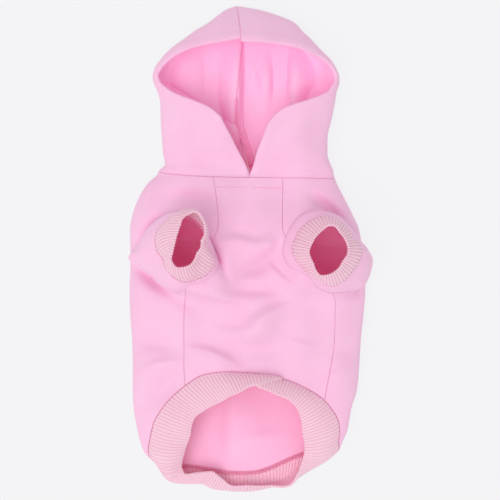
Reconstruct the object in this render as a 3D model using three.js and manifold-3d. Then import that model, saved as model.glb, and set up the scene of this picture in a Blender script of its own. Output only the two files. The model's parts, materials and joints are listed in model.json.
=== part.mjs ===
// A small dog's fleece hoodie, laid on its back with its belly up and its two sleeves standing.
// Millimetres: +X to the right, +Y towards the peak of the hood, +Z up from the surface it lies on. The
// origin is the bottom centre of the garment's box, and left is the side of -X.
import * as THREE from "three";
import { mergeVertices } from "three/addons/utils/BufferGeometryUtils.js";
import Module from "manifold-3d";

const wasm = await Module();
wasm.setup();

// Cloth
const FLEECE_WALL = 2.0;
const RIB_WALL = 2.4;
const RIB_DEPTH = 0.7;
const SEAM_GAP = 0.3;

// Body, from the neck seam to the hem seam at the middle of the back
const BODY_LENGTH = 237;
const BODY_WIDTH = 187;
const BODY_HEIGHT = 42;
const FOLD_DEPTH = 4;

// Hood, from the neck seam to its peak
const HOOD_LENGTH = 135.5;
const HOOD_WIDTH = 148;
const HOOD_HEIGHT = 48;
const SEAM_STRIP_WIDTH = 7;
const SEAM_STRIP_WALL = 1.2;
const SEAM_STRIP_START = 0.04;
const SEAM_STRIP_END = 0.45;

// Sleeves, whose cuff seams stand above the belly, and their cuffs
const SLEEVE_WIDTH = 62;
const SLEEVE_REACH = 20;
const CUFF_RISE = 21;
const CUFF_RIBS = 46;

// Waistband: its opening, how far its edge stands above the surface at the belly, and its ribs
const BAND_OPENING = 88;
const BAND_RISE = 55;
const BAND_BULGE = 12;
const BAND_RIBS = 100;
const BAND_OVERHANG = 16;

// How finely the walls are faceted
const CHEST_COLUMNS = 8;
const BACK_COLUMNS = 14;
const BODY_ROWS = 15;
const HOOD_COLUMNS = 9;
const SLEEVE_COLUMNS = 24;
const SEAM_STRIP_ROWS = 8;
const FACETS_PER_RIB = 2;

// A cross-section is a rounded box: this power rounds its corners, and its underside rests flat
// where the lift of the section passes REST_SHARE
const CORNER_POWER = 0.75;
const REST_SHARE = 0.75;
const FULL_TURN = 2 * Math.PI;
const PROBE = 0.002;
const SEAM_PASSES = 6;

// Share of the hood's length over which the rise of the neck seam fades, and share of the body's length
// at each end that its hollow leaves out
const NECK_FADE = 0.2;
const HOLLOW_MARGIN = 0.04;

const OVERALL_LENGTH = HOOD_LENGTH + BODY_LENGTH + BAND_OVERHANG;
const NECK_Y = OVERALL_LENGTH / 2 - HOOD_LENGTH;

// Body sections. along: share of the body's length from the neck seam. left, right, centre: shares of
// its width. height, fold (how high the side fold lies): shares of its height.
const BODY_SECTIONS = [
  { along: 0.0, left: -0.398, right: 0.353, centre: -0.005, height: 0.74, fold: 0.34 },
  { along: 0.03, left: -0.439, right: 0.368, centre: -0.01, height: 0.81, fold: 0.35 },
  { along: 0.081, left: -0.477, right: 0.401, centre: -0.013, height: 0.91, fold: 0.36 },
  { along: 0.13, left: -0.5, right: 0.432, centre: -0.013, height: 0.98, fold: 0.36 },
  { along: 0.18, left: -0.511, right: 0.46, centre: -0.013, height: 1.0, fold: 0.36 },
  { along: 0.29, left: -0.509, right: 0.481, centre: -0.013, height: 1.0, fold: 0.36 },
  { along: 0.38, left: -0.513, right: 0.487, centre: -0.013, height: 1.0, fold: 0.36 },
  { along: 0.45, left: -0.511, right: 0.481, centre: -0.013, height: 0.98, fold: 0.36 },
  { along: 0.55, left: -0.502, right: 0.468, centre: -0.013, height: 0.94, fold: 0.36 },
  { along: 0.65, left: -0.499, right: 0.46, centre: -0.013, height: 0.9, fold: 0.38 },
  { along: 0.715, left: -0.499, right: 0.451, centre: -0.013, height: 0.87, fold: 0.42 },
  { along: 0.78, left: -0.494, right: 0.426, centre: -0.015, height: 0.83, fold: 0.45 },
  { along: 0.85, left: -0.478, right: 0.41, centre: -0.018, height: 0.76, fold: 0.46 },
  { along: 0.885, left: -0.468, right: 0.392, centre: -0.02, height: 0.7, fold: 0.44 },
  { along: 0.925, left: -0.45, right: 0.37, centre: -0.02, height: 0.62, fold: 0.4 },
  { along: 0.96, left: -0.41, right: 0.34, centre: -0.02, height: 0.54, fold: 0.34 },
  { along: 1.0, left: -0.36, right: 0.29, centre: -0.02, height: 0.46, fold: 0.28 },
];

// Hood sections above the neck seam. along: share of the hood's length. left, right, centre: shares of
// its width. height, fold: shares of its height.
const HOOD_SECTIONS = [
  { along: 0.03, left: -0.488, right: 0.442, centre: -0.008, height: 0.68, fold: 0.3 },
  { along: 0.065, left: -0.458, right: 0.428, centre: -0.014, height: 0.71, fold: 0.3 },
  { along: 0.125, left: -0.468, right: 0.412, centre: -0.03, height: 0.79, fold: 0.31 },
  { along: 0.215, left: -0.474, right: 0.412, centre: -0.055, height: 0.855, fold: 0.33 },
  { along: 0.32, left: -0.48, right: 0.432, centre: -0.081, height: 0.92, fold: 0.36 },
  { along: 0.42, left: -0.482, right: 0.451, centre: -0.082, height: 0.97, fold: 0.38 },
  { along: 0.49, left: -0.498, right: 0.461, centre: -0.08, height: 0.99, fold: 0.4 },
  { along: 0.53, left: -0.514, right: 0.473, centre: -0.077, height: 1.0, fold: 0.4 },
  { along: 0.57, left: -0.523, right: 0.472, centre: -0.074, height: 1.0, fold: 0.4 },
  { along: 0.615, left: -0.514, right: 0.458, centre: -0.07, height: 1.0, fold: 0.4 },
  { along: 0.665, left: -0.486, right: 0.433, centre: -0.065, height: 1.0, fold: 0.39 },
  { along: 0.73, left: -0.433, right: 0.376, centre: -0.057, height: 0.98, fold: 0.37 },
  { along: 0.79, left: -0.361, right: 0.326, centre: -0.051, height: 0.9, fold: 0.34 },
  { along: 0.84, left: -0.301, right: 0.28, centre: -0.054, height: 0.78, fold: 0.3 },
  { along: 0.893, left: -0.226, right: 0.236, centre: -0.061, height: 0.62, fold: 0.25 },
  { along: 0.937, left: -0.176, right: 0.15, centre: -0.064, height: 0.46, fold: 0.2 },
  { along: 0.972, left: -0.135, right: 0.05, centre: -0.07, height: 0.32, fold: 0.15 },
  { along: 1.0, left: -0.074, right: -0.073, centre: -0.0735, height: 0.16, fold: 0.1 },
];

// Face opening of the hood: along, share of the hood's length. left, right: how far the rim stands from
// the centre seam, as shares of the half width there.
const FACE_RIM = [
  { along: 0.015, left: 0.0, right: 0.0 },
  { along: 0.059, left: 0.025, right: 0.05 },
  { along: 0.125, left: 0.062, right: 0.13 },
  { along: 0.214, left: 0.105, right: 0.253 },
  { along: 0.28, left: 0.146, right: 0.327 },
  { along: 0.32, left: 0.18, right: 0.375 },
  { along: 0.355, left: 0.257, right: 0.43 },
  { along: 0.391, left: 0.375, right: 0.53 },
  { along: 0.421, left: 0.53, right: 0.685 },
  { along: 0.45, left: 0.7, right: 0.82 },
  { along: 0.487, left: 0.845, right: 0.925 },
  { along: 0.531, left: 0.925, right: 0.955 },
  { along: 0.57, left: 0.94, right: 0.972 },
  { along: 0.613, left: 0.912, right: 0.958 },
  { along: 0.66, left: 0.875, right: 0.912 },
  { along: 0.7, left: 0.79, right: 0.82 },
  { along: 0.731, left: 0.64, right: 0.69 },
  { along: 0.753, left: 0.48, right: 0.535 },
  { along: 0.77, left: 0.28, right: 0.26 },
  { along: 0.785, left: 0.0, right: 0.0 },
];

// Rows of the crown above the face opening, as shares of the hood's length
const CROWN_ROWS = [0.83, 0.875, 0.915, 0.95, 0.98, 1.0];

// Neck seam: turn round the body (0 at the middle of the back, 0.25 the left side, 0.5 the chest), and
// its rise towards the hood as a share of the body's length
const NECK_LINE = [
  { turn: 0.0, rise: 0.017 },
  { turn: 0.25, rise: 0.011 },
  { turn: 0.5, rise: -0.009 },
  { turn: 0.75, rise: -0.013 },
];

// Hem seam, arched over the belly: turn round the body, and its place as a share of the body's length
const HEM_LINE = [
  { turn: 0.0, along: 1.0 },
  { turn: 0.1, along: 0.978 },
  { turn: 0.25, along: 0.972 },
  { turn: 0.31, along: 0.915 },
  { turn: 0.335, along: 0.873 },
  { turn: 0.357, along: 0.82 },
  { turn: 0.373, along: 0.79 },
  { turn: 0.4, along: 0.741 },
  { turn: 0.43, along: 0.694 },
  { turn: 0.457, along: 0.66 },
  { turn: 0.485, along: 0.65 },
  { turn: 0.53, along: 0.672 },
  { turn: 0.59, along: 0.725 },
  { turn: 0.626, along: 0.765 },
  { turn: 0.66, along: 0.81 },
  { turn: 0.7, along: 0.892 },
  { turn: 0.75, along: 0.918 },
  { turn: 0.9, along: 0.935 },
];

// Seams of the chest panel. along: share of the way from the neck seam to the hem seam. left, right:
// shares of the body's width from the centre line.
const CHEST_SEAMS = [
  { along: 0.0, left: -0.155, right: 0.136 },
  { along: 0.24, left: -0.134, right: 0.132 },
  { along: 0.41, left: -0.2, right: 0.22 },
  { along: 0.55, left: -0.27, right: 0.355 },
  { along: 0.72, left: -0.278, right: 0.352 },
  { along: 0.9, left: -0.278, right: 0.326 },
  { along: 1.0, left: -0.275, right: 0.311 },
];

// Folds of the belly side. across, along: middle, as shares of the body's width and length. reach, width:
// half lengths along and across the fold, as shares of the width. lean: turn from the X axis. depth:
// share of the fold depth, below zero for a valley.
const BELLY_FOLDS = [
  { across: 0.0, along: 0.26, reach: 0.14, width: 0.07, lean: 0.25, depth: -1.3 },
  { across: -0.02, along: 0.245, reach: 0.15, width: 0.035, lean: 0.0, depth: 0.5 },
  { across: -0.2, along: 0.47, reach: 0.16, width: 0.04, lean: 0.93, depth: 0.6 },
  { across: 0.1, along: 0.42, reach: 0.14, width: 0.05, lean: 0.06, depth: 0.5 },
  { across: -0.1, along: 0.59, reach: 0.2, width: 0.05, lean: 0.96, depth: -0.5 },
  { across: 0.12, along: 0.62, reach: 0.16, width: 0.05, lean: 0.05, depth: -0.4 },
  { across: -0.36, along: 0.72, reach: 0.12, width: 0.05, lean: 0.17, depth: -0.6 },
];

// Sleeve rings from inside the body to the cuff seam and on to the cuff's edge. across, along: centre, as
// shares of the body's width and length. level: 0 on the surface below, 1 at the height of the belly, 2 at
// the cuff seam, 3 at the cuff's edge. wide, long: half widths along X and Y, as shares of the sleeve's
// width. drop: how much lower the outer side lies, as a share of the sleeve's reach. point: 1 for an
// oval, above it for a pointed ring. yaw: turn about Z.
const LEFT_SLEEVE = [
  { across: -0.332, along: 0.296, level: 0.33, wide: 0.45, long: 0.39, drop: 0, point: 1, yaw: 0 },
  { across: -0.332, along: 0.296, level: 0.76, wide: 0.5, long: 0.435, drop: 0.5, point: 1, yaw: 0 },
  { across: -0.342, along: 0.28, level: 1, wide: 0.53, long: 0.465, drop: 0.7, point: 1.25, yaw: 0 },
  { across: -0.312, along: 0.262, level: 1.5, wide: 0.45, long: 0.45, drop: 0.3, point: 1.1, yaw: 0 },
  { across: -0.272, along: 0.242, level: 2, wide: 0.385, long: 0.435, drop: 0.1, point: 1, yaw: -0.02 },
  { across: -0.26, along: 0.232, level: 2.5, wide: 0.325, long: 0.4, drop: 0.05, point: 1, yaw: -0.03 },
  { across: -0.246, along: 0.22, level: 3, wide: 0.235, long: 0.355, drop: 0, point: 1.1, yaw: -0.035 },
];
const RIGHT_SLEEVE = [
  { across: 0.348, along: 0.296, level: 0.33, wide: 0.4, long: 0.39, drop: 0, point: 1, yaw: 0 },
  { across: 0.342, along: 0.296, level: 0.76, wide: 0.46, long: 0.435, drop: 0.4, point: 1, yaw: 0 },
  { across: 0.342, along: 0.284, level: 1, wide: 0.535, long: 0.475, drop: 0.7, point: 1.25, yaw: 0 },
  { across: 0.33, along: 0.265, level: 1.5, wide: 0.485, long: 0.46, drop: 0.3, point: 1.1, yaw: 0 },
  { across: 0.319, along: 0.253, level: 2, wide: 0.44, long: 0.43, drop: 0.1, point: 1, yaw: 0 },
  { across: 0.318, along: 0.251, level: 2.5, wide: 0.36, long: 0.39, drop: 0.05, point: 1, yaw: 0 },
  { across: 0.318, along: 0.249, level: 3, wide: 0.24, long: 0.325, drop: 0, point: 1.15, yaw: 0 },
];
const CUFF_SEAM_RING = 4;

// Free edge of the waistband. turn: seen from above, from the middle of the back by the left. radius: a share
// of the opening. rise: share of the band's rise. bulge: how far the middle of the band stands out.
const BAND_EDGE = [
  { turn: 0.0, radius: 0.484, rise: 0.25, bulge: 1.0 },
  { turn: 0.081, radius: 0.464, rise: 0.27, bulge: 1.1 },
  { turn: 0.137, radius: 0.565, rise: 0.33, bulge: 1.0 },
  { turn: 0.162, radius: 0.652, rise: 0.35, bulge: 0.8 },
  { turn: 0.208, radius: 0.556, rise: 0.47, bulge: 0.5 },
  { turn: 0.251, radius: 0.49, rise: 0.6, bulge: 0.25 },
  { turn: 0.295, radius: 0.482, rise: 0.69, bulge: 0.2 },
  { turn: 0.338, radius: 0.428, rise: 0.78, bulge: 0.2 },
  { turn: 0.405, radius: 0.378, rise: 0.89, bulge: 0.2 },
  { turn: 0.472, radius: 0.395, rise: 0.98, bulge: 0.2 },
  { turn: 0.537, radius: 0.46, rise: 1.0, bulge: 0.2 },
  { turn: 0.593, radius: 0.459, rise: 0.91, bulge: 0.2 },
  { turn: 0.64, radius: 0.502, rise: 0.84, bulge: 0.2 },
  { turn: 0.671, radius: 0.511, rise: 0.76, bulge: 0.25 },
  { turn: 0.737, radius: 0.498, rise: 0.64, bulge: 0.35 },
  { turn: 0.792, radius: 0.535, rise: 0.53, bulge: 0.45 },
  { turn: 0.85, radius: 0.599, rise: 0.35, bulge: 0.45 },
  { turn: 0.881, radius: 0.658, rise: 0.2, bulge: 0.4 },
  { turn: 0.947, radius: 0.522, rise: 0.22, bulge: 0.8 },
];
const BAND_CENTRE = { across: -0.019, along: 0.862 };
const BAND_ROWS = [0, 0.3, 0.65, 1];

const fleece = new THREE.MeshStandardMaterial({ color: 0xf6bfdd, roughness: 0.95, metalness: 0 });
const ribKnit = new THREE.MeshStandardMaterial({ color: 0xf3c3d3, roughness: 0.95, metalness: 0 });

// Value of one column of a table at a place, by a cubic through the rows that never overshoots them.
function track(rows, column, key, place) {
  const last = rows.length - 1;
  if (place <= rows[0][key]) return rows[0][column];
  if (place >= rows[last][key]) return rows[last][column];
  let i = 0;
  while (rows[i + 1][key] < place) i += 1;
  const slope = (k) => (rows[k + 1][column] - rows[k][column]) / (rows[k + 1][key] - rows[k][key]);
  const tangent = (k) => {
    if (k === 0) return slope(0);
    if (k === last) return slope(last - 1);
    const before = slope(k - 1);
    const after = slope(k);
    return before * after <= 0 ? 0 : (2 * before * after) / (before + after);
  };
  const span = rows[i + 1][key] - rows[i][key];
  const t = (place - rows[i][key]) / span;
  const [t2, t3] = [t * t, t * t * t];
  return (
    (2 * t3 - 3 * t2 + 1) * rows[i][column] +
    (t3 - 2 * t2 + t) * span * tangent(i) +
    (3 * t2 - 2 * t3) * rows[i + 1][column] +
    (t3 - t2) * span * tangent(i + 1)
  );
}

// The same for a table that closes on itself after one turn.
function trackRound(rows, column, turn) {
  const wrapped = turn - Math.floor(turn);
  const before = rows.slice(-2).map((row) => ({ ...row, turn: row.turn - 1 }));
  const after = rows.slice(0, 2).map((row) => ({ ...row, turn: row.turn + 1 }));
  return track([...before, ...rows, ...after], column, "turn", wrapped);
}

// A table whose shares are made lengths.
function scaled(rows, length, width, height) {
  return rows.map((row) => ({
    along: row.along * length,
    left: row.left * width,
    right: row.right * width,
    centre: row.centre * width,
    height: row.height * height,
    fold: row.fold * height,
  }));
}

const bodySections = scaled(BODY_SECTIONS, BODY_LENGTH, BODY_WIDTH, BODY_HEIGHT);
const hoodSections = [bodySections[0], ...scaled(HOOD_SECTIONS, HOOD_LENGTH, HOOD_WIDTH, HOOD_HEIGHT)];

// Cross-section of the garment at a place along Y.
function sectionAt(y) {
  const [rows, along] = y <= NECK_Y ? [bodySections, NECK_Y - y] : [hoodSections, y - NECK_Y];
  const columns = ["left", "right", "centre", "height", "fold"];
  return Object.fromEntries(columns.map((column) => [column, track(rows, column, "along", along)]));
}

// Height that the folds add to the belly side.
function foldLift(x, y) {
  let lift = 0;
  for (const fold of BELLY_FOLDS) {
    const [dx, dy] = [x - fold.across * BODY_WIDTH, y - (NECK_Y - fold.along * BODY_LENGTH)];
    const angle = fold.lean * FULL_TURN;
    const lengthwise = (dx * Math.cos(angle) + dy * Math.sin(angle)) / (fold.reach * BODY_WIDTH);
    const sideways = (dy * Math.cos(angle) - dx * Math.sin(angle)) / (fold.width * BODY_WIDTH);
    lift += fold.depth * FOLD_DEPTH * Math.exp(-lengthwise * lengthwise - sideways * sideways);
  }
  return lift;
}

// Point of the outer surface: round the section by its turn, at a place along Y.
function outerPoint(turn, y) {
  const section = sectionAt(y);
  const angle = turn * FULL_TURN;
  const across = Math.abs(Math.sin(angle)) ** CORNER_POWER;
  const lift = Math.abs(Math.cos(angle)) ** CORNER_POWER;
  const edge = Math.sin(angle) >= 0 ? section.left : section.right;
  const x = section.centre + (edge - section.centre) * across;
  const underside = section.fold * Math.max(0, 1 - lift / REST_SHARE);
  if (Math.cos(angle) > 0) return new THREE.Vector3(x, y, underside);
  const crown = section.fold + (section.height - section.fold) * lift;
  return new THREE.Vector3(x, y, crown + foldLift(x, y) * lift);
}

// Turn at which the belly side of the section at y passes x.
function turnAt(x, y) {
  const section = sectionAt(y);
  const edge = x < section.centre ? section.left : section.right;
  const share = Math.min(1, (x - section.centre) / (edge - section.centre));
  const angle = Math.asin(share ** (1 / CORNER_POWER)) / FULL_TURN;
  return x < section.centre ? 0.5 - angle : 0.5 + angle;
}

const neckY = (turn) => NECK_Y + trackRound(NECK_LINE, "rise", turn) * BODY_LENGTH;
const hemY = (turn) => NECK_Y - trackRound(HEM_LINE, "along", turn) * BODY_LENGTH;

// Place on the body: v runs from the neck seam, less half the seam gap, to the hem seam.
function bodyPoint(turn, v) {
  const start = neckY(turn) - SEAM_GAP / 2;
  return outerPoint(turn, start + (hemY(turn) - start) * v);
}

// Place on the hood: along is a share of the hood's length from the neck seam, past half the seam gap.
function hoodPoint(turn, along) {
  const rise = (neckY(turn) - NECK_Y + SEAM_GAP / 2) * Math.max(0, 1 - along / NECK_FADE);
  return outerPoint(turn, NECK_Y + rise + along * HOOD_LENGTH);
}

// Outward normal of a surface of two parameters, from its neighbours. facing is 1 or -1. A flat normal has
// no part along Y, so that two pieces that meet at the neck seam turn the same way there.
function outwardNormal(surface, u, v, facing, flat) {
  const round = surface(u + PROBE, v).sub(surface(u - PROBE, v));
  const along = surface(u, Math.min(1, v + PROBE)).sub(surface(u, Math.max(0, v - PROBE)));
  if (flat) return new THREE.Vector3(-round.z, 0, round.x).normalize();
  return new THREE.Vector3().crossVectors(along, round).multiplyScalar(facing).normalize();
}

// Outer and inner sheet of a wall from the parameters of each row of points.
function sheets(surface, cellRows, wall, facing) {
  const outer = cellRows.map((row) => row.map(([u, v]) => surface(u, v)));
  const inner = cellRows.map((row, i) =>
    row.map(([u, v], j) => {
      const normal = outwardNormal(surface, u, v, facing, i === 0);
      return outer[i][j].clone().addScaledVector(normal, -wall);
    }),
  );
  return { outer, inner };
}

// One closed body between an outer and an inner sheet. A round body has no side walls.
function wallGeometry({ outer, inner }, round) {
  const points = [...outer.flat(), ...inner.flat()];
  const [rows, columns] = [outer.length, outer[0].length];
  const skip = rows * columns;
  const at = (side, i, j) => side * skip + i * columns + (j % columns);
  const index = [];
  const quad = (a, b, c, d) => index.push(a, b, c, a, c, d);
  const spans = round ? columns : columns - 1;
  for (let i = 0; i < rows - 1; i += 1) {
    for (let j = 0; j < spans; j += 1) {
      quad(at(0, i, j), at(0, i, j + 1), at(0, i + 1, j + 1), at(0, i + 1, j));
      quad(at(1, i, j), at(1, i + 1, j), at(1, i + 1, j + 1), at(1, i, j + 1));
    }
    if (round) continue;
    quad(at(0, i, 0), at(0, i + 1, 0), at(1, i + 1, 0), at(1, i, 0));
    quad(at(0, i, spans), at(1, i, spans), at(1, i + 1, spans), at(0, i + 1, spans));
  }
  for (let j = 0; j < spans; j += 1) {
    quad(at(0, 0, j), at(1, 0, j), at(1, 0, j + 1), at(0, 0, j + 1));
    quad(at(0, rows - 1, j), at(0, rows - 1, j + 1), at(1, rows - 1, j + 1), at(1, rows - 1, j));
  }
  return closedGeometry(points, index);
}

// One closed body from rings of points with a flat fan over each end.
function plugGeometry(rings) {
  const columns = rings[0].length;
  const middle = (ring) => ring.reduce((sum, p) => sum.add(p), new THREE.Vector3()).divideScalar(columns);
  const points = [...rings.flat(), middle(rings[0]), middle(rings[rings.length - 1])];
  const [first, last] = [points.length - 2, points.length - 1];
  const index = [];
  for (let j = 0; j < columns; j += 1) {
    const next = (j + 1) % columns;
    for (let i = 0; i < rings.length - 1; i += 1) {
      const [a, b] = [i * columns, (i + 1) * columns];
      index.push(a + j, a + next, b + next, a + j, b + next, b + j);
    }
    const top = (rings.length - 1) * columns;
    index.push(first, next, j, last, top + j, top + next);
  }
  return closedGeometry(points, index);
}

// Geometry with its doubles merged, its empty triangles dropped and its faces pointing out.
function closedGeometry(points, index) {
  const raw = new THREE.BufferGeometry().setFromPoints(points).setIndex(index);
  const merged = mergeVertices(raw, 1e-3);
  const [a, b, c] = [new THREE.Vector3(), new THREE.Vector3(), new THREE.Vector3()];
  const corners = merged.index.array;
  const position = merged.attributes.position;
  const kept = [];
  let volume = 0;
  for (let i = 0; i < corners.length; i += 3) {
    const [p, q, r] = [corners[i], corners[i + 1], corners[i + 2]];
    if (p === q || q === r || p === r) continue;
    kept.push([p, q, r]);
    a.fromBufferAttribute(position, p);
    b.fromBufferAttribute(position, q);
    c.fromBufferAttribute(position, r);
    volume += a.dot(b.cross(c));
  }
  const faces = volume < 0 ? kept.map(([p, q, r]) => [p, r, q]) : kept;
  merged.setIndex(faces.flat());
  return merged;
}

function toSolid(geometry) {
  const vertProperties = geometry.attributes.position.array;
  const triVerts = new Uint32Array(geometry.index.array);
  return new wasm.Manifold(new wasm.Mesh({ numProp: 3, vertProperties, triVerts }));
}

function toGeometry(solid) {
  const mesh = solid.getMesh();
  const geometry = new THREE.BufferGeometry();
  geometry.setAttribute("position", new THREE.BufferAttribute(mesh.vertProperties, 3));
  geometry.setIndex(new THREE.BufferAttribute(mesh.triVerts, 1));
  return geometry;
}

function makeMesh(name, geometry, material) {
  geometry.computeVertexNormals();
  const mesh = new THREE.Mesh(geometry, material);
  mesh.name = name;
  return mesh;
}

const steps = (from, to, count) =>
  Array.from({ length: count + 1 }, (_, i) => from + ((to - from) * i) / count);

// Turn of a chest seam, half a gap to one side of the seam line.
function chestSeamTurn(side, v, offset) {
  const x = track(CHEST_SEAMS, side, "along", v) * BODY_WIDTH + offset;
  let turn = 0.5;
  for (let pass = 0; pass < SEAM_PASSES; pass += 1) turn = turnAt(x, bodyPoint(turn, v).y);
  return turn;
}

const bodyRows = steps(0, 1, BODY_ROWS);

function chestSheets() {
  const cells = bodyRows.map((v) =>
    steps(
      chestSeamTurn("left", v, SEAM_GAP / 2),
      chestSeamTurn("right", v, -SEAM_GAP / 2),
      CHEST_COLUMNS,
    ).map((turn) => [turn, v]),
  );
  return sheets(bodyPoint, cells, FLEECE_WALL, 1);
}

function backSheets() {
  const cells = bodyRows.map((v) => {
    const right = steps(chestSeamTurn("right", v, SEAM_GAP / 2), 1, BACK_COLUMNS);
    const left = steps(0, chestSeamTurn("left", v, -SEAM_GAP / 2), BACK_COLUMNS).slice(1);
    return [...right, ...left].map((turn) => [turn, v]);
  });
  return sheets(bodyPoint, cells, FLEECE_WALL, 1);
}

// Half of the hood, from its centre seam round the side to the rim, or to the crown seam past the rim.
function hoodSheets(side) {
  const away = side === "left" ? -1 : 1;
  const rows = [0, ...FACE_RIM.map((row) => row.along), ...CROWN_ROWS];
  const cells = rows.map((along) => {
    const opening = track(FACE_RIM, side, "along", along);
    const front = 0.5 + (away * Math.asin(opening ** (1 / CORNER_POWER))) / FULL_TURN;
    return steps(side === "left" ? 0 : 1, front, HOOD_COLUMNS).map((turn) => [turn, along]);
  });
  const made = sheets(hoodPoint, cells, FLEECE_WALL, -1);
  const part = (point) => point.add(new THREE.Vector3((away * SEAM_GAP) / 2, 0, 0));
  rows.forEach((along, i) => {
    const open = track(FACE_RIM, side, "along", along) > 0;
    for (const sheet of [made.outer, made.inner]) {
      if (i === rows.length - 1) {
        const pole = part(sheet[i][0].clone());
        sheet[i] = sheet[i].map(() => pole.clone());
        continue;
      }
      part(sheet[i][0]);
      if (!open) part(sheet[i][HOOD_COLUMNS]);
    }
  });
  return made;
}

// Ring of a sleeve or cuff, grown outwards by a margin.
function sleeveRing(row, side, margin) {
  const away = side === "left" ? -1 : 1;
  const share = (from) => Math.min(1, Math.max(0, row.level - from));
  const height = share(0) * BODY_HEIGHT + share(1) * SLEEVE_REACH + share(2) * CUFF_RISE;
  return steps(0, 1, SLEEVE_COLUMNS)
    .slice(1)
    .map((turn) => {
      const angle = turn * FULL_TURN;
      const c = Math.sign(Math.cos(angle)) * Math.abs(Math.cos(angle)) ** row.point;
      const s = Math.sign(Math.sin(angle)) * Math.abs(Math.sin(angle)) ** row.point;
      const outwards = c * away > 0 ? c * away : 0;
      const x = c * (row.wide * SLEEVE_WIDTH + margin);
      const y = s * (row.long * SLEEVE_WIDTH + margin);
      const yaw = row.yaw * FULL_TURN;
      return new THREE.Vector3(
        row.across * BODY_WIDTH + x * Math.cos(yaw) - y * Math.sin(yaw),
        NECK_Y - row.along * BODY_LENGTH + x * Math.sin(yaw) + y * Math.cos(yaw),
        height - outwards * row.drop * SLEEVE_REACH,
      );
    });
}

// Normals of a round stack of rings, from their neighbours.
function ringNormals(rings) {
  const columns = rings[0].length;
  const last = rings.length - 1;
  return rings.map((ring, i) =>
    ring.map((_, j) => {
      const round = ring[(j + 1) % columns].clone().sub(ring[(j + columns - 1) % columns]);
      const along = rings[Math.min(last, i + 1)][j].clone().sub(rings[Math.max(0, i - 1)][j]);
      return new THREE.Vector3().crossVectors(round, along).normalize();
    }),
  );
}

// Point at a share of the way round a closed ring of points, from its first point.
function alongRing(ring, share) {
  const place = (share - Math.floor(share)) * ring.length;
  const i = Math.floor(place);
  return ring[i % ring.length].clone().lerp(ring[(i + 1) % ring.length], place - i);
}

// Sheets of a ribbed round band from its rings of outer points and their normals.
function ribbedSheets(rings, normals, wall) {
  const lift = (j) => (j % FACETS_PER_RIB === 0 ? 0 : -RIB_DEPTH);
  const sheet = (depth) =>
    rings.map((ring, i) => ring.map((p, j) => p.clone().addScaledVector(normals[i][j], lift(j) - depth)));
  return { outer: sheet(0), inner: sheet(wall) };
}

// Sleeve between its armhole and its cuff seam, and its cuff.
function sleeveParts(table, side, bodyHollow) {
  const rings = table.map((row) => sleeveRing(row, side, 0));
  const sleeveRings = rings.slice(0, CUFF_SEAM_RING + 1);
  const normals = ringNormals(rings).slice(0, CUFF_SEAM_RING + 1);
  const inner = sleeveRings.map((ring, i) =>
    ring.map((p, j) => p.clone().addScaledVector(normals[i][j], -FLEECE_WALL)),
  );
  const shell = toSolid(wallGeometry({ outer: sleeveRings, inner }, true));
  const plugTable = table.slice(0, CUFF_SEAM_RING + 1);
  const plug = toSolid(plugGeometry(plugTable.map((row) => sleeveRing(row, side, SEAM_GAP))));

  const cuffRings = rings.slice(CUFF_SEAM_RING);
  const seamNormals = normals[CUFF_SEAM_RING];
  const count = CUFF_RIBS * FACETS_PER_RIB;
  const shares = steps(0, 1, count).slice(1);
  const [seam, ...upper] = cuffRings.map((ring) => shares.map((share) => alongRing(ring, share)));
  const base = seam.map((p, j) => p.clone().lerp(upper[0][j], SEAM_GAP / p.distanceTo(upper[0][j])));
  const outer = [base, ...upper];
  const cuffNormals = ringNormals(outer);
  cuffNormals[0] = shares.map((share) => alongRing(seamNormals, share).normalize());
  const cuff = wallGeometry(ribbedSheets(outer, cuffNormals, RIB_WALL), true);
  return { sleeve: toGeometry(shell.subtract(bodyHollow)), plug, cuff };
}

// Points of a closed ring at even lengths round it. On a coarse ring the nearest one to each corner moves
// onto it.
function evenRing(ring, count) {
  const lengths = [0];
  ring.forEach((p, i) => lengths.push(lengths[i] + p.distanceTo(ring[(i + 1) % ring.length])));
  const total = lengths[ring.length];
  const targets = steps(0, total, count).slice(0, -1);
  const corners = ring.length < count / 2 ? lengths.slice(0, -1) : [];
  for (const corner of corners) targets[Math.round((corner / total) * count) % count] = corner;
  let i = 0;
  return targets.map((target) => {
    while (lengths[i + 1] < target) i += 1;
    const t = (target - lengths[i]) / (lengths[i + 1] - lengths[i]);
    return { place: (i + t) / ring.length, point: ring[i].clone().lerp(ring[(i + 1) % ring.length], t) };
  });
}

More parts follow.
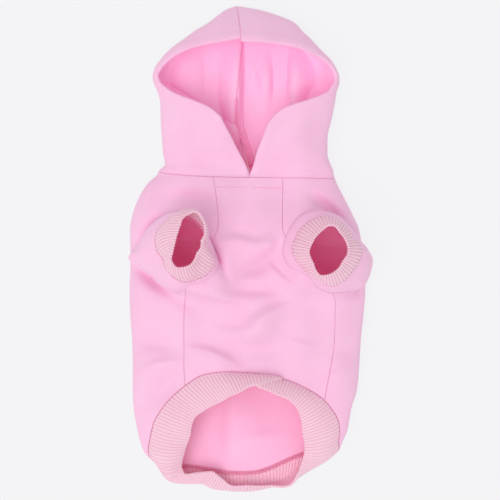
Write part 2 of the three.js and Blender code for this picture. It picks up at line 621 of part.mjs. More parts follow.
// The ribbed waistband: from the hem seam, over its bulge, to its free edge.
function waistbandGeometry(chest, back) {
  const row = BODY_ROWS;
  const ringOf = (sheet) => {
    const [left, right] = [back[sheet][row].slice(BACK_COLUMNS), back[sheet][row].slice(0, BACK_COLUMNS)];
    return [...left, ...chest[sheet][row], ...right];
  };
  const before = [
    ...back.outer[row - 1].slice(BACK_COLUMNS),
    ...chest.outer[row - 1],
    ...back.outer[row - 1].slice(0, BACK_COLUMNS),
  ];
  const [seamOuter, seamInner] = [ringOf("outer"), ringOf("inner")];
  const count = BAND_RIBS * FACETS_PER_RIB;
  const seam = evenRing(seamOuter, count);
  const normals = seam.map(({ place }) =>
    alongRing(seamOuter, place).sub(alongRing(seamInner, place)).normalize(),
  );
  const base = seam.map(({ place, point }, j) => {
    const round = seam[(j + 1) % count].point.clone().sub(seam[(j + count - 1) % count].point);
    const away = new THREE.Vector3().crossVectors(normals[j], round).normalize();
    const onward = point.clone().sub(alongRing(before, place));
    return point.clone().addScaledVector(away, away.dot(onward) < 0 ? -SEAM_GAP : SEAM_GAP);
  });

  const centre = new THREE.Vector3(
    BAND_CENTRE.across * BODY_WIDTH,
    NECK_Y - BAND_CENTRE.along * BODY_LENGTH,
    0,
  );
  const edgeTurns = steps(0, 1, count).slice(0, -1);
  const edgeRing = edgeTurns.map((turn) => {
    const radius = trackRound(BAND_EDGE, "radius", turn) * BAND_OPENING;
    const angle = turn * FULL_TURN;
    const rise = trackRound(BAND_EDGE, "rise", turn) * BAND_RISE;
    return new THREE.Vector3(-radius * Math.sin(angle), -radius * Math.cos(angle), rise).add(centre);
  });
  const edge = evenRing(edgeRing, count);
  const bulged = base.map((p, j) => {
    const middle = p.clone().lerp(edge[j].point, 0.5);
    const chord = edge[j].point.clone().sub(p);
    const round = base[(j + 1) % count].clone().sub(base[(j + count - 1) % count]);
    const outwards = new THREE.Vector3().crossVectors(chord, round).normalize();
    return middle.addScaledVector(outwards, trackRound(BAND_EDGE, "bulge", edge[j].place) * BAND_BULGE);
  });
  const rings = BAND_ROWS.map((t) =>
    base.map((p, j) => {
      const ends = p.clone().add(edge[j].point);
      const control = bulged[j].clone().multiplyScalar(2).addScaledVector(ends, -0.5);
      const curved = p
        .clone()
        .multiplyScalar((1 - t) ** 2)
        .addScaledVector(control, 2 * t * (1 - t))
        .addScaledVector(edge[j].point, t * t);
      return curved.setZ(Math.max(curved.z, 0));
    }),
  );
  const ringed = ringNormals(rings).map((ring) => ring.map((n) => n.multiplyScalar(-1)));
  ringed[0] = normals;
  return wallGeometry(ribbedSheets(rings, ringed, RIB_WALL), true);
}

// Hollow of the body inside its walls, closed at the neck and the hem.
function hollowSolid() {
  const rows = steps(HOLLOW_MARGIN, 1 - HOLLOW_MARGIN, BODY_ROWS);
  const turns = steps(0, 1, 2 * BACK_COLUMNS + CHEST_COLUMNS).slice(1);
  const cells = rows.map((v) => turns.map((turn) => [turn, v]));
  return toSolid(plugGeometry(sheets(bodyPoint, cells, FLEECE_WALL, 1).inner));
}

// Seam allowance that lies over the centre seam inside the hood's back.
function seamStripGeometry() {
  const rows = steps(SEAM_STRIP_START, SEAM_STRIP_END, SEAM_STRIP_ROWS);
  const sheet = (lift) =>
    rows.map((along) =>
      [-1, 0, 1].map((side) => {
        const seam = hoodPoint(0, along);
        return new THREE.Vector3(
          seam.x + (side * SEAM_STRIP_WIDTH) / 2,
          seam.y,
          FLEECE_WALL + SEAM_GAP + lift,
        );
      }),
    );
  return wallGeometry({ outer: sheet(SEAM_STRIP_WALL), inner: sheet(0) }, false);
}

const chest = chestSheets();
const back = backSheets();
const bodyHollow = hollowSolid();
const leftSleeve = sleeveParts(LEFT_SLEEVE, "left", bodyHollow);
const rightSleeve = sleeveParts(RIGHT_SLEEVE, "right", bodyHollow);
const withArmholes = (panel) =>
  toGeometry(toSolid(wallGeometry(panel, false)).subtract(leftSleeve.plug).subtract(rightSleeve.plug));

const hoodie = new THREE.Group();
hoodie.add(
  makeMesh("hood_left", wallGeometry(hoodSheets("left"), false), fleece),
  makeMesh("hood_right", wallGeometry(hoodSheets("right"), false), fleece),
  makeMesh("hood_seam_strip", seamStripGeometry(), fleece),
  makeMesh("chest_panel", withArmholes(chest), fleece),
  makeMesh("back_panel", withArmholes(back), fleece),
  makeMesh("sleeve_left", leftSleeve.sleeve, fleece),
  makeMesh("sleeve_right", rightSleeve.sleeve, fleece),
  makeMesh("cuff_left", leftSleeve.cuff, ribKnit),
  makeMesh("cuff_right", rightSleeve.cuff, ribKnit),
  makeMesh("waistband", waistbandGeometry(chest, back), ribKnit),
);

export default hoodie;
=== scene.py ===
"""A small dog's fleece hoodie, laid on its back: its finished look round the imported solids.

The cloth is worked out in millimetres in the frame of the solids, and put into its meshes in metres: +X to
the right, +Y towards the peak of the hood, +Z up from the surface that it lies on. Left is the side of -X.
A turn runs round the body: 0 at the middle of the back, 0.25 at the left side, 0.5 at the chest.
"""

from __future__ import annotations

import json
import logging
import math
from dataclasses import dataclass
from enum import Enum, IntEnum
from functools import cached_property
from typing import Callable, Sequence

import bmesh
import bpy
import numpy as np
from numpy.typing import NDArray
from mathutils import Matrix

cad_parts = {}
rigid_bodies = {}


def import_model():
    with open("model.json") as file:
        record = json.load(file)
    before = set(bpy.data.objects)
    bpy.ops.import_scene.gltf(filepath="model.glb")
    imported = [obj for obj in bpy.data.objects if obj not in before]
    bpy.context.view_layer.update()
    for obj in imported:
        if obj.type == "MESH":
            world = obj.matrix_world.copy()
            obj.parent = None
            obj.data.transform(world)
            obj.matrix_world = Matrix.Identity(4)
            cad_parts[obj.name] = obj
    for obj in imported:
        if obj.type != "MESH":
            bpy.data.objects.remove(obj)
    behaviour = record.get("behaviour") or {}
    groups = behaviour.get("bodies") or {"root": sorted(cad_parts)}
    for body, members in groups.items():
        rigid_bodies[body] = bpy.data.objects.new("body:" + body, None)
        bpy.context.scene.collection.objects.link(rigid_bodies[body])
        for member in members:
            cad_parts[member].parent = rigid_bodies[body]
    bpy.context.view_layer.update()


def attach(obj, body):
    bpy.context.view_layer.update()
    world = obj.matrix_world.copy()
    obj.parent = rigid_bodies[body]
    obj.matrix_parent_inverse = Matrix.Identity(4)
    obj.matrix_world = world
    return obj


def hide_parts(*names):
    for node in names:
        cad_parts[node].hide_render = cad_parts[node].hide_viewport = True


Array = NDArray[np.float64]
Numbers = NDArray[np.int64]
Surface = Callable[[Array, Array], Array]
Tone = tuple[float, float, float]
Piece = bpy.types.Object
Material = bpy.types.Material

LOG = logging.getLogger("hoodie")
MILLIMETRE = 0.001
FULL_TURN = 2.0 * math.pi

# Step to the neighbours from which a normal is worked out, as a share or a turn.
PROBE = 0.002
TINY = 1e-12

# Points closer than this become one, and edges shorter than this are dropped, in millimetres.
MERGE_DISTANCE = 1e-3
EMPTY_LENGTH = 1e-4
NEVER_SHARP_DEGREES = 180.0


class Side(Enum):
    """Side of the garment, with the way that it lies from the middle."""

    LEFT = -1
    RIGHT = 1

    @property
    def word(self) -> str:
        """Name of the side in the tables and the pieces."""
        return self.name.lower()


class Table:
    """Rows of named columns, read between the rows by a cubic that never overshoots them.

    The slope at a row is the harmonic mean of the slopes on its two sides, or zero where they turn.
    """

    def __init__(self, columns: str, rows: Sequence[Sequence[float]], closed: bool = False) -> None:
        """Keep the rows as one array.

        Args:
            columns: names of the columns, of which the first is the place.
            rows: values of each row.
            closed: whether the table closes on itself after one turn.
        """
        self.columns = columns.split()
        self.closed = closed
        self.rows = np.array(rows, float)
        if closed:
            one_turn = np.eye(1, len(self.columns))
            self.rows = np.vstack([self.rows[-2:] - one_turn, self.rows, self.rows[:2] + one_turn])

    def read(self, name: str, place: Array | float) -> Array:
        """Values of one column at places.

        Args:
            name: the column.
            place: where to read it, in the units of the first column.

        Returns:
            One value for each place.
        """
        places = self.rows[:, 0]
        values = self.rows[:, self.columns.index(name)]
        place = np.asarray(place, float)
        if self.closed:
            place = place - np.floor(place)
        place = np.clip(place, places[0], places[-1])
        span = np.diff(places)
        slope = np.diff(values) / span
        product = slope[:-1] * slope[1:]
        total = slope[:-1] + slope[1:]
        turned = np.divide(2.0 * product, total, out=np.zeros_like(product), where=product > 0)
        tangent = np.concatenate([slope[:1], turned, slope[-1:]])
        i = np.clip(np.searchsorted(places, place, side="right") - 1, 0, len(span) - 1)
        t = (place - places[i]) / span[i]
        return (
            (2 * t**3 - 3 * t**2 + 1) * values[i]
            + (t**3 - 2 * t**2 + t) * span[i] * tangent[i]
            + (3 * t**2 - 2 * t**3) * values[i + 1]
            + (t**3 - t**2) * span[i] * tangent[i + 1]
        )


# Body sections. along: share of the body's length from the neck seam. left, right, centre: shares of its
# width. height, fold (how high the side fold lies): shares of its height.
SECTION_COLUMNS = "along left right centre height fold"
BODY_SECTIONS = Table(SECTION_COLUMNS, [
    (0.0, -0.398, 0.353, -0.005, 0.74, 0.34),
    (0.03, -0.439, 0.368, -0.01, 0.81, 0.35),
    (0.081, -0.477, 0.401, -0.013, 0.91, 0.36),
    (0.13, -0.5, 0.432, -0.013, 0.98, 0.36),
    (0.18, -0.511, 0.46, -0.013, 1.0, 0.36),
    (0.29, -0.509, 0.481, -0.013, 1.0, 0.36),
    (0.38, -0.513, 0.487, -0.013, 1.0, 0.36),
    (0.45, -0.511, 0.481, -0.013, 0.98, 0.36),
    (0.55, -0.502, 0.468, -0.013, 0.94, 0.36),
    (0.65, -0.499, 0.46, -0.013, 0.9, 0.38),
    (0.715, -0.499, 0.451, -0.013, 0.87, 0.42),
    (0.78, -0.494, 0.426, -0.015, 0.83, 0.45),
    (0.85, -0.478, 0.41, -0.018, 0.76, 0.46),
    (0.885, -0.468, 0.392, -0.02, 0.7, 0.44),
    (0.925, -0.45, 0.37, -0.02, 0.62, 0.4),
    (0.96, -0.41, 0.34, -0.02, 0.54, 0.34),
    (1.0, -0.36, 0.29, -0.02, 0.46, 0.28),
])

# Hood sections above the neck seam, as shares of the hood's length, width and height.
HOOD_SECTIONS = Table(SECTION_COLUMNS, [
    (0.03, -0.488, 0.442, -0.008, 0.68, 0.3),
    (0.065, -0.458, 0.428, -0.014, 0.71, 0.3),
    (0.125, -0.468, 0.412, -0.03, 0.79, 0.31),
    (0.215, -0.474, 0.412, -0.055, 0.855, 0.33),
    (0.32, -0.48, 0.432, -0.081, 0.92, 0.36),
    (0.42, -0.482, 0.451, -0.082, 0.97, 0.38),
    (0.49, -0.498, 0.461, -0.08, 0.99, 0.4),
    (0.53, -0.514, 0.473, -0.077, 1.0, 0.4),
    (0.57, -0.523, 0.472, -0.074, 1.0, 0.4),
    (0.615, -0.514, 0.458, -0.07, 1.0, 0.4),
    (0.665, -0.486, 0.433, -0.065, 1.0, 0.39),
    (0.73, -0.433, 0.376, -0.057, 0.98, 0.37),
    (0.79, -0.361, 0.326, -0.051, 0.9, 0.34),
    (0.84, -0.301, 0.28, -0.054, 0.78, 0.3),
    (0.893, -0.226, 0.236, -0.061, 0.62, 0.25),
    (0.937, -0.176, 0.15, -0.064, 0.46, 0.2),
    (0.972, -0.135, 0.05, -0.07, 0.32, 0.15),
    (1.0, -0.074, -0.073, -0.0735, 0.16, 0.1),
])

# Face opening of the hood: share of the hood's length, and how far the rim stands from the centre seam on
# each side, as shares of the half width there.
FACE_RIM = Table("along left right", [
    (0.015, 0.0, 0.0),
    (0.059, 0.025, 0.05),
    (0.125, 0.062, 0.13),
    (0.214, 0.105, 0.253),
    (0.28, 0.146, 0.327),
    (0.32, 0.18, 0.375),
    (0.355, 0.257, 0.43),
    (0.391, 0.375, 0.53),
    (0.421, 0.53, 0.685),
    (0.45, 0.7, 0.82),
    (0.487, 0.845, 0.925),
    (0.531, 0.925, 0.955),
    (0.57, 0.94, 0.972),
    (0.613, 0.912, 0.958),
    (0.66, 0.875, 0.912),
    (0.7, 0.79, 0.82),
    (0.731, 0.64, 0.69),
    (0.753, 0.48, 0.43),
    (0.766, 0.3, 0.0),
    (0.785, 0.0, 0.0),
])
RIM_BOTTOM, RIM_TOP = FACE_RIM.rows[[0, -1], 0]

# Neck seam: turn round the body, and its rise towards the hood as a share of the body's length.
NECK_LINE = Table("turn rise", [(0.0, 0.017), (0.25, 0.011), (0.5, -0.009), (0.75, -0.013)], closed=True)

# Hem seam, arched over the belly: turn round the body, and its place as a share of the body's length.
HEM_LINE = Table("turn along", [
    (0.0, 1.0),
    (0.1, 0.978),
    (0.25, 0.972),
    (0.31, 0.915),
    (0.335, 0.873),
    (0.357, 0.82),
    (0.373, 0.79),
    (0.4, 0.741),
    (0.43, 0.694),
    (0.457, 0.66),
    (0.485, 0.65),
    (0.53, 0.672),
    (0.59, 0.725),
    (0.626, 0.765),
    (0.66, 0.81),
    (0.7, 0.892),
    (0.75, 0.918),
    (0.9, 0.935),
], closed=True)

# Seams of the chest panel: share of the way from the neck seam to the hem seam, and shares of the body's
# width from the centre line.
CHEST_SEAMS = Table("along left right", [
    (0.0, -0.155, 0.136),
    (0.24, -0.134, 0.132),
    (0.41, -0.2, 0.22),
    (0.55, -0.27, 0.355),
    (0.72, -0.278, 0.352),
    (0.9, -0.278, 0.326),
    (1.0, -0.275, 0.311),
])


class FoldShape(IntEnum):
    """Cross-section of a fold: a round ridge, a sharp valley, or a ridge with one steep flank."""

    RIDGE = 0
    CREASE = 1
    LAP = 2

    def profile(self, sideways: Array) -> Array:
        """Height of the fold across its line.

        A ridge is exp(-s^2), a lap is that with s times its steepness on its positive side, and a crease
        is -exp(-2 |s|) with its tip a little rounded.

        Args:
            sideways: distances from the line, in half widths of the fold.

        Returns:
            Heights from -1 to 1.
        """
        if self is CREASE:
            return -np.exp(-2.0 * np.hypot(sideways, CREASE_TIP))
        steep = LAP_STEEPNESS if self is LAP else 1.0
        return bell(np.where(sideways > 0, steep, 1.0) * sideways)


RIDGE, CREASE, LAP = FoldShape
LAP_STEEPNESS = 4.0
CREASE_TIP = 0.1

# Folds. across, along: middle of the fold, as shares of the width and length of the body or the hood.
# reach, width: half lengths along and across it, as shares of the width. lean: turn from the X axis, with
# the steep flank of a lap to its left. depth: share of the fold depth. bend: half widths that it turns to
# its left at its ends.
FOLD_COLUMNS = "shape across along reach width lean depth bend"
BELLY_FOLDS = Table(FOLD_COLUMNS, [
    (LAP, -0.06, 0.222, 0.09, 0.11, 0.99, 0.5, -0.15),
    (LAP, 0.04, 0.228, 0.07, 0.09, 0.04, 0.3, 0.3),
    (RIDGE, 0.08, 0.236, 0.035, 0.03, 0.1, 0.5, 0.0),
    (RIDGE, 0.048, 0.296, 0.09, 0.03, 0.114, -0.6, 0.4),
    (RIDGE, 0.01, 0.381, 0.11, 0.027, 0.0, -0.45, 0.0),
    (LAP, 0.12, 0.335, 0.1, 0.05, 0.88, 0.35, 0.3),
    (LAP, -0.04, 0.52, 0.1, 0.08, 0.02, 0.22, 0.3),
    (LAP, 0.2, 0.56, 0.12, 0.08, 0.96, 0.22, 0.2),
    (LAP, 0.045, 0.47, 0.11, 0.085, 0.105, 0.75, -0.3),
    (LAP, -0.17, 0.398, 0.13, 0.06, 0.462, 0.6, 0.0),
    (LAP, -0.15, 0.592, 0.13, 0.08, 0.94, 0.4, -0.35),
    (RIDGE, 0.0, 0.578, 0.19, 0.05, 0.0, -0.45, 0.4),
    (RIDGE, -0.385, 0.562, 0.11, 0.035, 0.98, -0.5, 0.0),
    (LAP, -0.385, 0.625, 0.08, 0.075, 0.04, 0.45, -0.2),
    (RIDGE, -0.381, 0.726, 0.1, 0.04, 0.125, -0.4, 0.0),
    (RIDGE, 0.385, 0.58, 0.1, 0.035, 0.03, -0.4, 0.0),
    (LAP, 0.38, 0.65, 0.08, 0.085, 0.1, 0.3, 0.0),
    (RIDGE, -0.26, 0.082, 0.1, 0.035, 0.99, -0.45, 0.0),
    (RIDGE, 0.335, 0.118, 0.08, 0.026, 0.894, -1.0, 0.0),
    (RIDGE, -0.4, 0.349, 0.14, 0.032, 0.907, -1.2, 0.0),
    (RIDGE, -0.43, 0.19, 0.09, 0.03, 0.14, -0.5, 0.0),
    (RIDGE, 0.43, 0.385, 0.09, 0.025, 0.02, -0.6, 0.0),
    (CREASE, -0.14, 0.269, 0.09, 0.03, 0.817, 1.0, 0.0),
    (RIDGE, 0.22, 0.36, 0.1, 0.04, 0.07, 0.3, 0.0),
    (RIDGE, -0.17, -0.05, 0.08, 0.05, 0.97, -0.4, 0.0),
    (RIDGE, 0.19, -0.14, 0.1, 0.05, 0.03, 0.3, 0.0),
    (RIDGE, 0.3, -0.06, 0.12, 0.05, 0.98, 0.3, 0.0),
])
HOOD_BACK_FOLDS = Table(FOLD_COLUMNS, [
    (LAP, -0.075, 0.508, 0.33, 0.08, 0.745, 1.1, 0.0),
    (RIDGE, -0.35, 0.58, 0.2, 0.11, 0.25, 0.75, 0.0),
    (RIDGE, 0.02, 0.6, 0.1, 0.03, 0.25, 0.35, 0.0),
    (RIDGE, 0.085, 0.56, 0.14, 0.04, 0.25, 0.65, 0.0),
    (LAP, 0.235, 0.56, 0.2, 0.1, 0.245, 1.1, 0.0),
    (RIDGE, -0.213, 0.53, 0.24, 0.035, 0.255, -0.9, 0.0),
    (RIDGE, 0.154, 0.55, 0.2, 0.035, 0.25, -0.9, 0.0),
    (CREASE, -0.17, 0.378, 0.075, 0.03, 0.829, 0.9, 0.0),
    (CREASE, 0.045, 0.54, 0.08, 0.02, 0.24, 0.45, 0.8),
    (CREASE, -0.008, 0.513, 0.04, 0.02, 0.0, 0.5, 0.0),
    (LAP, -0.385, 0.43, 0.22, 0.2, 0.913, 1.2, 0.0),
    (CREASE, -0.338, 0.47, 0.22, 0.025, 0.913, 0.9, 0.0),
    (LAP, 0.46, 0.6, 0.16, 0.2, 0.27, 1.2, 0.0),
    (RIDGE, 0.38, 0.466, 0.07, 0.05, 0.03, -1.6, 0.0),
])
BODY_BACK_FOLDS = Table(FOLD_COLUMNS, [
    (LAP, -0.3, 0.222, 0.12, 0.05, 0.5, 1.0, 0.0),
    (LAP, 0.34, 0.226, 0.12, 0.08, 0.48, 1.0, -0.2),
    (LAP, -0.09, 0.83, 0.18, 0.15, 0.25, 0.9, 0.0),
    (CREASE, -0.11, 0.85, 0.12, 0.02, 0.24, 0.35, 0.0),
    (RIDGE, 0.05, 0.881, 0.1, 0.03, 0.04, 0.2, 0.0),
])

# Sleeve rings from inside the body to the cuff seam and on to the cuff's edge, by their number. across,
# along: centre, as shares of the body's width and length. level: 0 on the surface below, 1 at the height
# of the belly, 2 at the cuff seam, 3 at the cuff's edge. drop: how much lower the outer side lies, as a
# share of the sleeve's reach. foot, seam, edge: share of each loop in the ring.
RING_COLUMNS = "ring across along level drop foot seam edge"
FOOT_RING = 2
CUFF_SEAM_RING = 4
CUFF_EDGE_RING = 6
SLEEVE_RINGS = {
    Side.LEFT: Table(RING_COLUMNS, [
        (0, -0.332, 0.296, 0.33, 0.0, 0.8, 0.0, 0.0),
        (1, -0.335, 0.29, 0.76, 0.5, 0.9, 0.0, 0.0),
        (2, -0.342, 0.28, 1.0, 0.5, 1.0, 0.0, 0.0),
        (3, -0.312, 0.262, 1.5, 0.3, 0.5, 0.56, 0.0),
        (4, -0.272, 0.242, 2.0, 0.1, 0.0, 1.0, 0.0),
        (5, -0.26, 0.232, 2.5, 0.05, 0.0, 0.56, 0.54),
        (6, -0.246, 0.22, 3.0, 0.0, 0.0, 0.0, 1.0),
    ]),
    Side.RIGHT: Table(RING_COLUMNS, [
        (0, 0.348, 0.296, 0.33, 0.0, 0.8, 0.0, 0.0),
        (1, 0.342, 0.29, 0.76, 0.4, 0.9, 0.0, 0.0),
        (2, 0.342, 0.284, 1.0, 0.7, 1.0, 0.0, 0.0),
        (3, 0.33, 0.265, 1.5, 0.3, 0.5, 0.56, 0.0),
        (4, 0.319, 0.253, 2.0, 0.1, 0.0, 1.0, 0.0),
        (5, 0.318, 0.251, 2.5, 0.05, 0.0, 0.56, 0.54),
        (6, 0.318, 0.249, 3.0, 0.0, 0.0, 0.0, 1.0),
    ]),
}

# Loops of a sleeve seen from above: its foot at the height of the belly, its cuff seam and its cuff's edge.
# turn: from the right. The rest are radii, as shares of the sleeve's width.
LOOP_COLUMNS = "turn foot seam edge"
SLEEVE_LOOPS = {
    Side.LEFT: Table(LOOP_COLUMNS, [
        (0.0, 0.633, 0.294, 0.139),
        (0.04, 0.595, 0.305, 0.175),
        (0.09, 0.57, 0.342, 0.22),
        (0.16, 0.6, 0.395, 0.297),
        (0.215, 0.591, 0.427, 0.357),
        (0.265, 0.543, 0.445, 0.319),
        (0.305, 0.5, 0.423, 0.278),
        (0.35, 0.468, 0.402, 0.208),
        (0.415, 0.43, 0.4, 0.167),
        (0.465, 0.46, 0.38, 0.162),
        (0.495, 0.515, 0.36, 0.168),
        (0.525, 0.45, 0.345, 0.18),
        (0.575, 0.35, 0.31, 0.232),
        (0.625, 0.309, 0.343, 0.323),
        (0.675, 0.326, 0.378, 0.357),
        (0.72, 0.359, 0.417, 0.321),
        (0.76, 0.396, 0.434, 0.279),
        (0.81, 0.463, 0.427, 0.206),
        (0.86, 0.563, 0.44, 0.15),
        (0.91, 0.66, 0.435, 0.145),
        (0.944, 0.69, 0.39, 0.14),
        (0.97, 0.68, 0.325, 0.139),
    ], closed=True),
    Side.RIGHT: Table(LOOP_COLUMNS, [
        (0.0, 0.519, 0.426, 0.228),
        (0.03, 0.482, 0.406, 0.227),
        (0.085, 0.434, 0.344, 0.231),
        (0.155, 0.444, 0.378, 0.246),
        (0.215, 0.531, 0.408, 0.295),
        (0.255, 0.584, 0.424, 0.287),
        (0.295, 0.634, 0.44, 0.249),
        (0.35, 0.694, 0.438, 0.221),
        (0.43, 0.689, 0.434, 0.209),
        (0.475, 0.653, 0.451, 0.219),
        (0.515, 0.602, 0.44, 0.232),
        (0.6, 0.485, 0.378, 0.24),
        (0.65, 0.442, 0.375, 0.285),
        (0.7, 0.423, 0.383, 0.325),
        (0.735, 0.416, 0.417, 0.308),
        (0.77, 0.412, 0.447, 0.284),
        (0.825, 0.439, 0.425, 0.251),
        (0.9, 0.521, 0.399, 0.213),
        (0.955, 0.516, 0.414, 0.224),
    ], closed=True),
}

# Free edge of the waistband. turn: seen from above, from the middle of the back by the left. radius: a
# share of the opening. rise: share of the band's rise. bulge: how far the middle of the band stands out.
BAND_EDGE = Table("turn radius rise bulge", [
    (0.0, 0.485, 0.25, 1.0),
    (0.043, 0.505, 0.25, 1.0),
    (0.08, 0.467, 0.27, 1.1),
    (0.109, 0.455, 0.3, 1.0),
    (0.14, 0.56, 0.33, 1.0),
    (0.158, 0.66, 0.35, 0.8),
    (0.208, 0.556, 0.47, 0.5),
    (0.251, 0.49, 0.6, 0.25),
    (0.295, 0.482, 0.69, 0.2),
    (0.338, 0.428, 0.78, 0.2),
    (0.405, 0.378, 0.89, 0.2),
    (0.472, 0.395, 0.98, 0.2),
    (0.537, 0.46, 1.0, 0.2),
    (0.593, 0.459, 0.91, 0.2),
    (0.64, 0.502, 0.84, 0.2),
    (0.671, 0.511, 0.76, 0.25),
    (0.737, 0.498, 0.64, 0.35),
    (0.792, 0.535, 0.53, 0.45),
    (0.825, 0.56, 0.43, 0.45),
    (0.857, 0.6, 0.33, 0.45),
    (0.885, 0.635, 0.21, 0.4),
    (0.94, 0.53, 0.22, 0.8),
], closed=True)


def unit(vectors: Array) -> Array:
    """Vectors made one long, each along the last axis."""
    return vectors / np.maximum(np.linalg.norm(vectors, axis=-1, keepdims=True), TINY)


def bell(distance: Array) -> Array:
    """A round hump that fades from 1 at distance 0: exp(-d^2)."""
    return np.exp(-(distance**2))


def heading(turn: Array | float) -> tuple[Array, Array]:
    """Cosine and sine of turns."""
    return np.cos(turn * FULL_TURN), np.sin(turn * FULL_TURN)


def even_turns(count: int) -> Array:
    """Evenly spaced turns once round, from 0."""
    return np.linspace(0.0, 1.0, count, endpoint=False)


def crowded(count: int, crowd: float) -> Array:
    """Shares from 0 to 1 that crowd towards both ends: u less crowd times sin(2 pi u) / 2 pi."""
    u = np.linspace(0.0, 1.0, count)
    return u - crowd * heading(u)[1] / FULL_TURN


def grid(down: Array, across: Array) -> tuple[Array, Array]:
    """Two parameters over a grid, the first along its columns and the second along its rows."""
    return tuple(np.meshgrid(down, across, indexing="ij"))


def lengths_along(points: Array, axis: int) -> Array:
    """Length of the way to each point of a grid from the first one on its line.

    Args:
        points: grid of points, with their coordinates on the last axis.
        axis: which axis of the grid the lines run along.

    Returns:
        Grid of lengths.
    """
    steps = np.linalg.norm(np.diff(points, axis=axis), axis=-1)
    start = np.zeros_like(np.take(steps, [0], axis=axis))
    return np.concatenate([start, np.cumsum(steps, axis=axis)], axis=axis)


def to_ends(lengths: Array, axis: int) -> Array:
    """Way to the nearer end of each line, from the lengths along it."""
    return np.minimum(lengths, np.take(lengths, [-1], axis=axis) - lengths)


def along_lines(values: Array, lengths: Array, targets: Array) -> Array:
    """Values of a grid at lengths along its columns, in straight steps between its rows.

    Args:
        values: grid of vectors.
        lengths: length to each of its points, down its column.
        targets: lengths to read at, in rows for the same columns.

    Returns:
        One vector for each target.
    """
    low = np.clip((targets[:, None] >= lengths).sum(axis=1) - 1, 0, len(lengths) - 2)
    column = np.arange(lengths.shape[1])
    start = lengths[low, column]
    t = ((targets - start) / (lengths[low + 1, column] - start))[..., None]
    return values[low, column] * (1 - t) + values[low + 1, column] * t


def rounded_edge(distance: Array, radius: float, least: float = 0.0) -> Array:
    """Share of a wall's half thickness near its edge: from the least one, a quarter circle up to 1.

    Args:
        distance: distances from the edge.
        radius: distance over which the edge is rounded.
        least: share at the edge itself.

    Returns:
        Shares up to 1.
    """
    inwards = np.clip(1.0 - distance / radius, 0.0, 1.0)
    return least + (1.0 - least) * np.sqrt(1.0 - inwards**2)


def distance_to_line(points: Array, line: Array) -> Array:
    """Distance from each point to the nearest stretch of a line of points.

    Each stretch's nearest place is the foot of the perpendicular, held between its two ends.

    Args:
        points: points, with their coordinates on the last axis.
        line: the line's points in order.

    Returns:
        One distance for each point.
    """
    stretch = np.diff(line, axis=0)
    from_start = points[..., None, :] - line[:-1]
    share = np.sum(from_start * stretch, axis=-1) / np.maximum(np.sum(stretch**2, axis=-1), TINY)
    foot = np.clip(share, 0.0, 1.0)[..., None] * stretch
    return np.linalg.norm(from_start - foot, axis=-1).min(axis=-1)


def steps_round(points: Array, axis: int) -> Array:
    """Way from the point before each one to the point after it, on closed lines."""
    return np.roll(points, -1, axis=axis) - np.roll(points, 1, axis=axis)


def even_ring(ring: Array, count: int) -> tuple[Array, Array]:
    """Points at even lengths round a closed ring.

    Args:
        ring: the ring's points.
        count: how many points to return.

    Returns:
        The points, and the share of the ring's points at which each one lies.
    """
    closed = np.vstack([ring, ring[:1]])
    lengths = lengths_along(closed, 0)
    targets = lengths[-1] * even_turns(count)
    place = np.interp(targets, lengths, np.arange(len(closed)))
    points = np.stack([np.interp(targets, lengths, line) for line in closed.T], axis=1)
    return points, place / len(ring)


def nearest_round(values: Array, share: Array) -> Array:
    """Values of a closed ring at the points that lie nearest to shares of it."""
    return values[np.round(share * len(values)).astype(int) % len(values)]


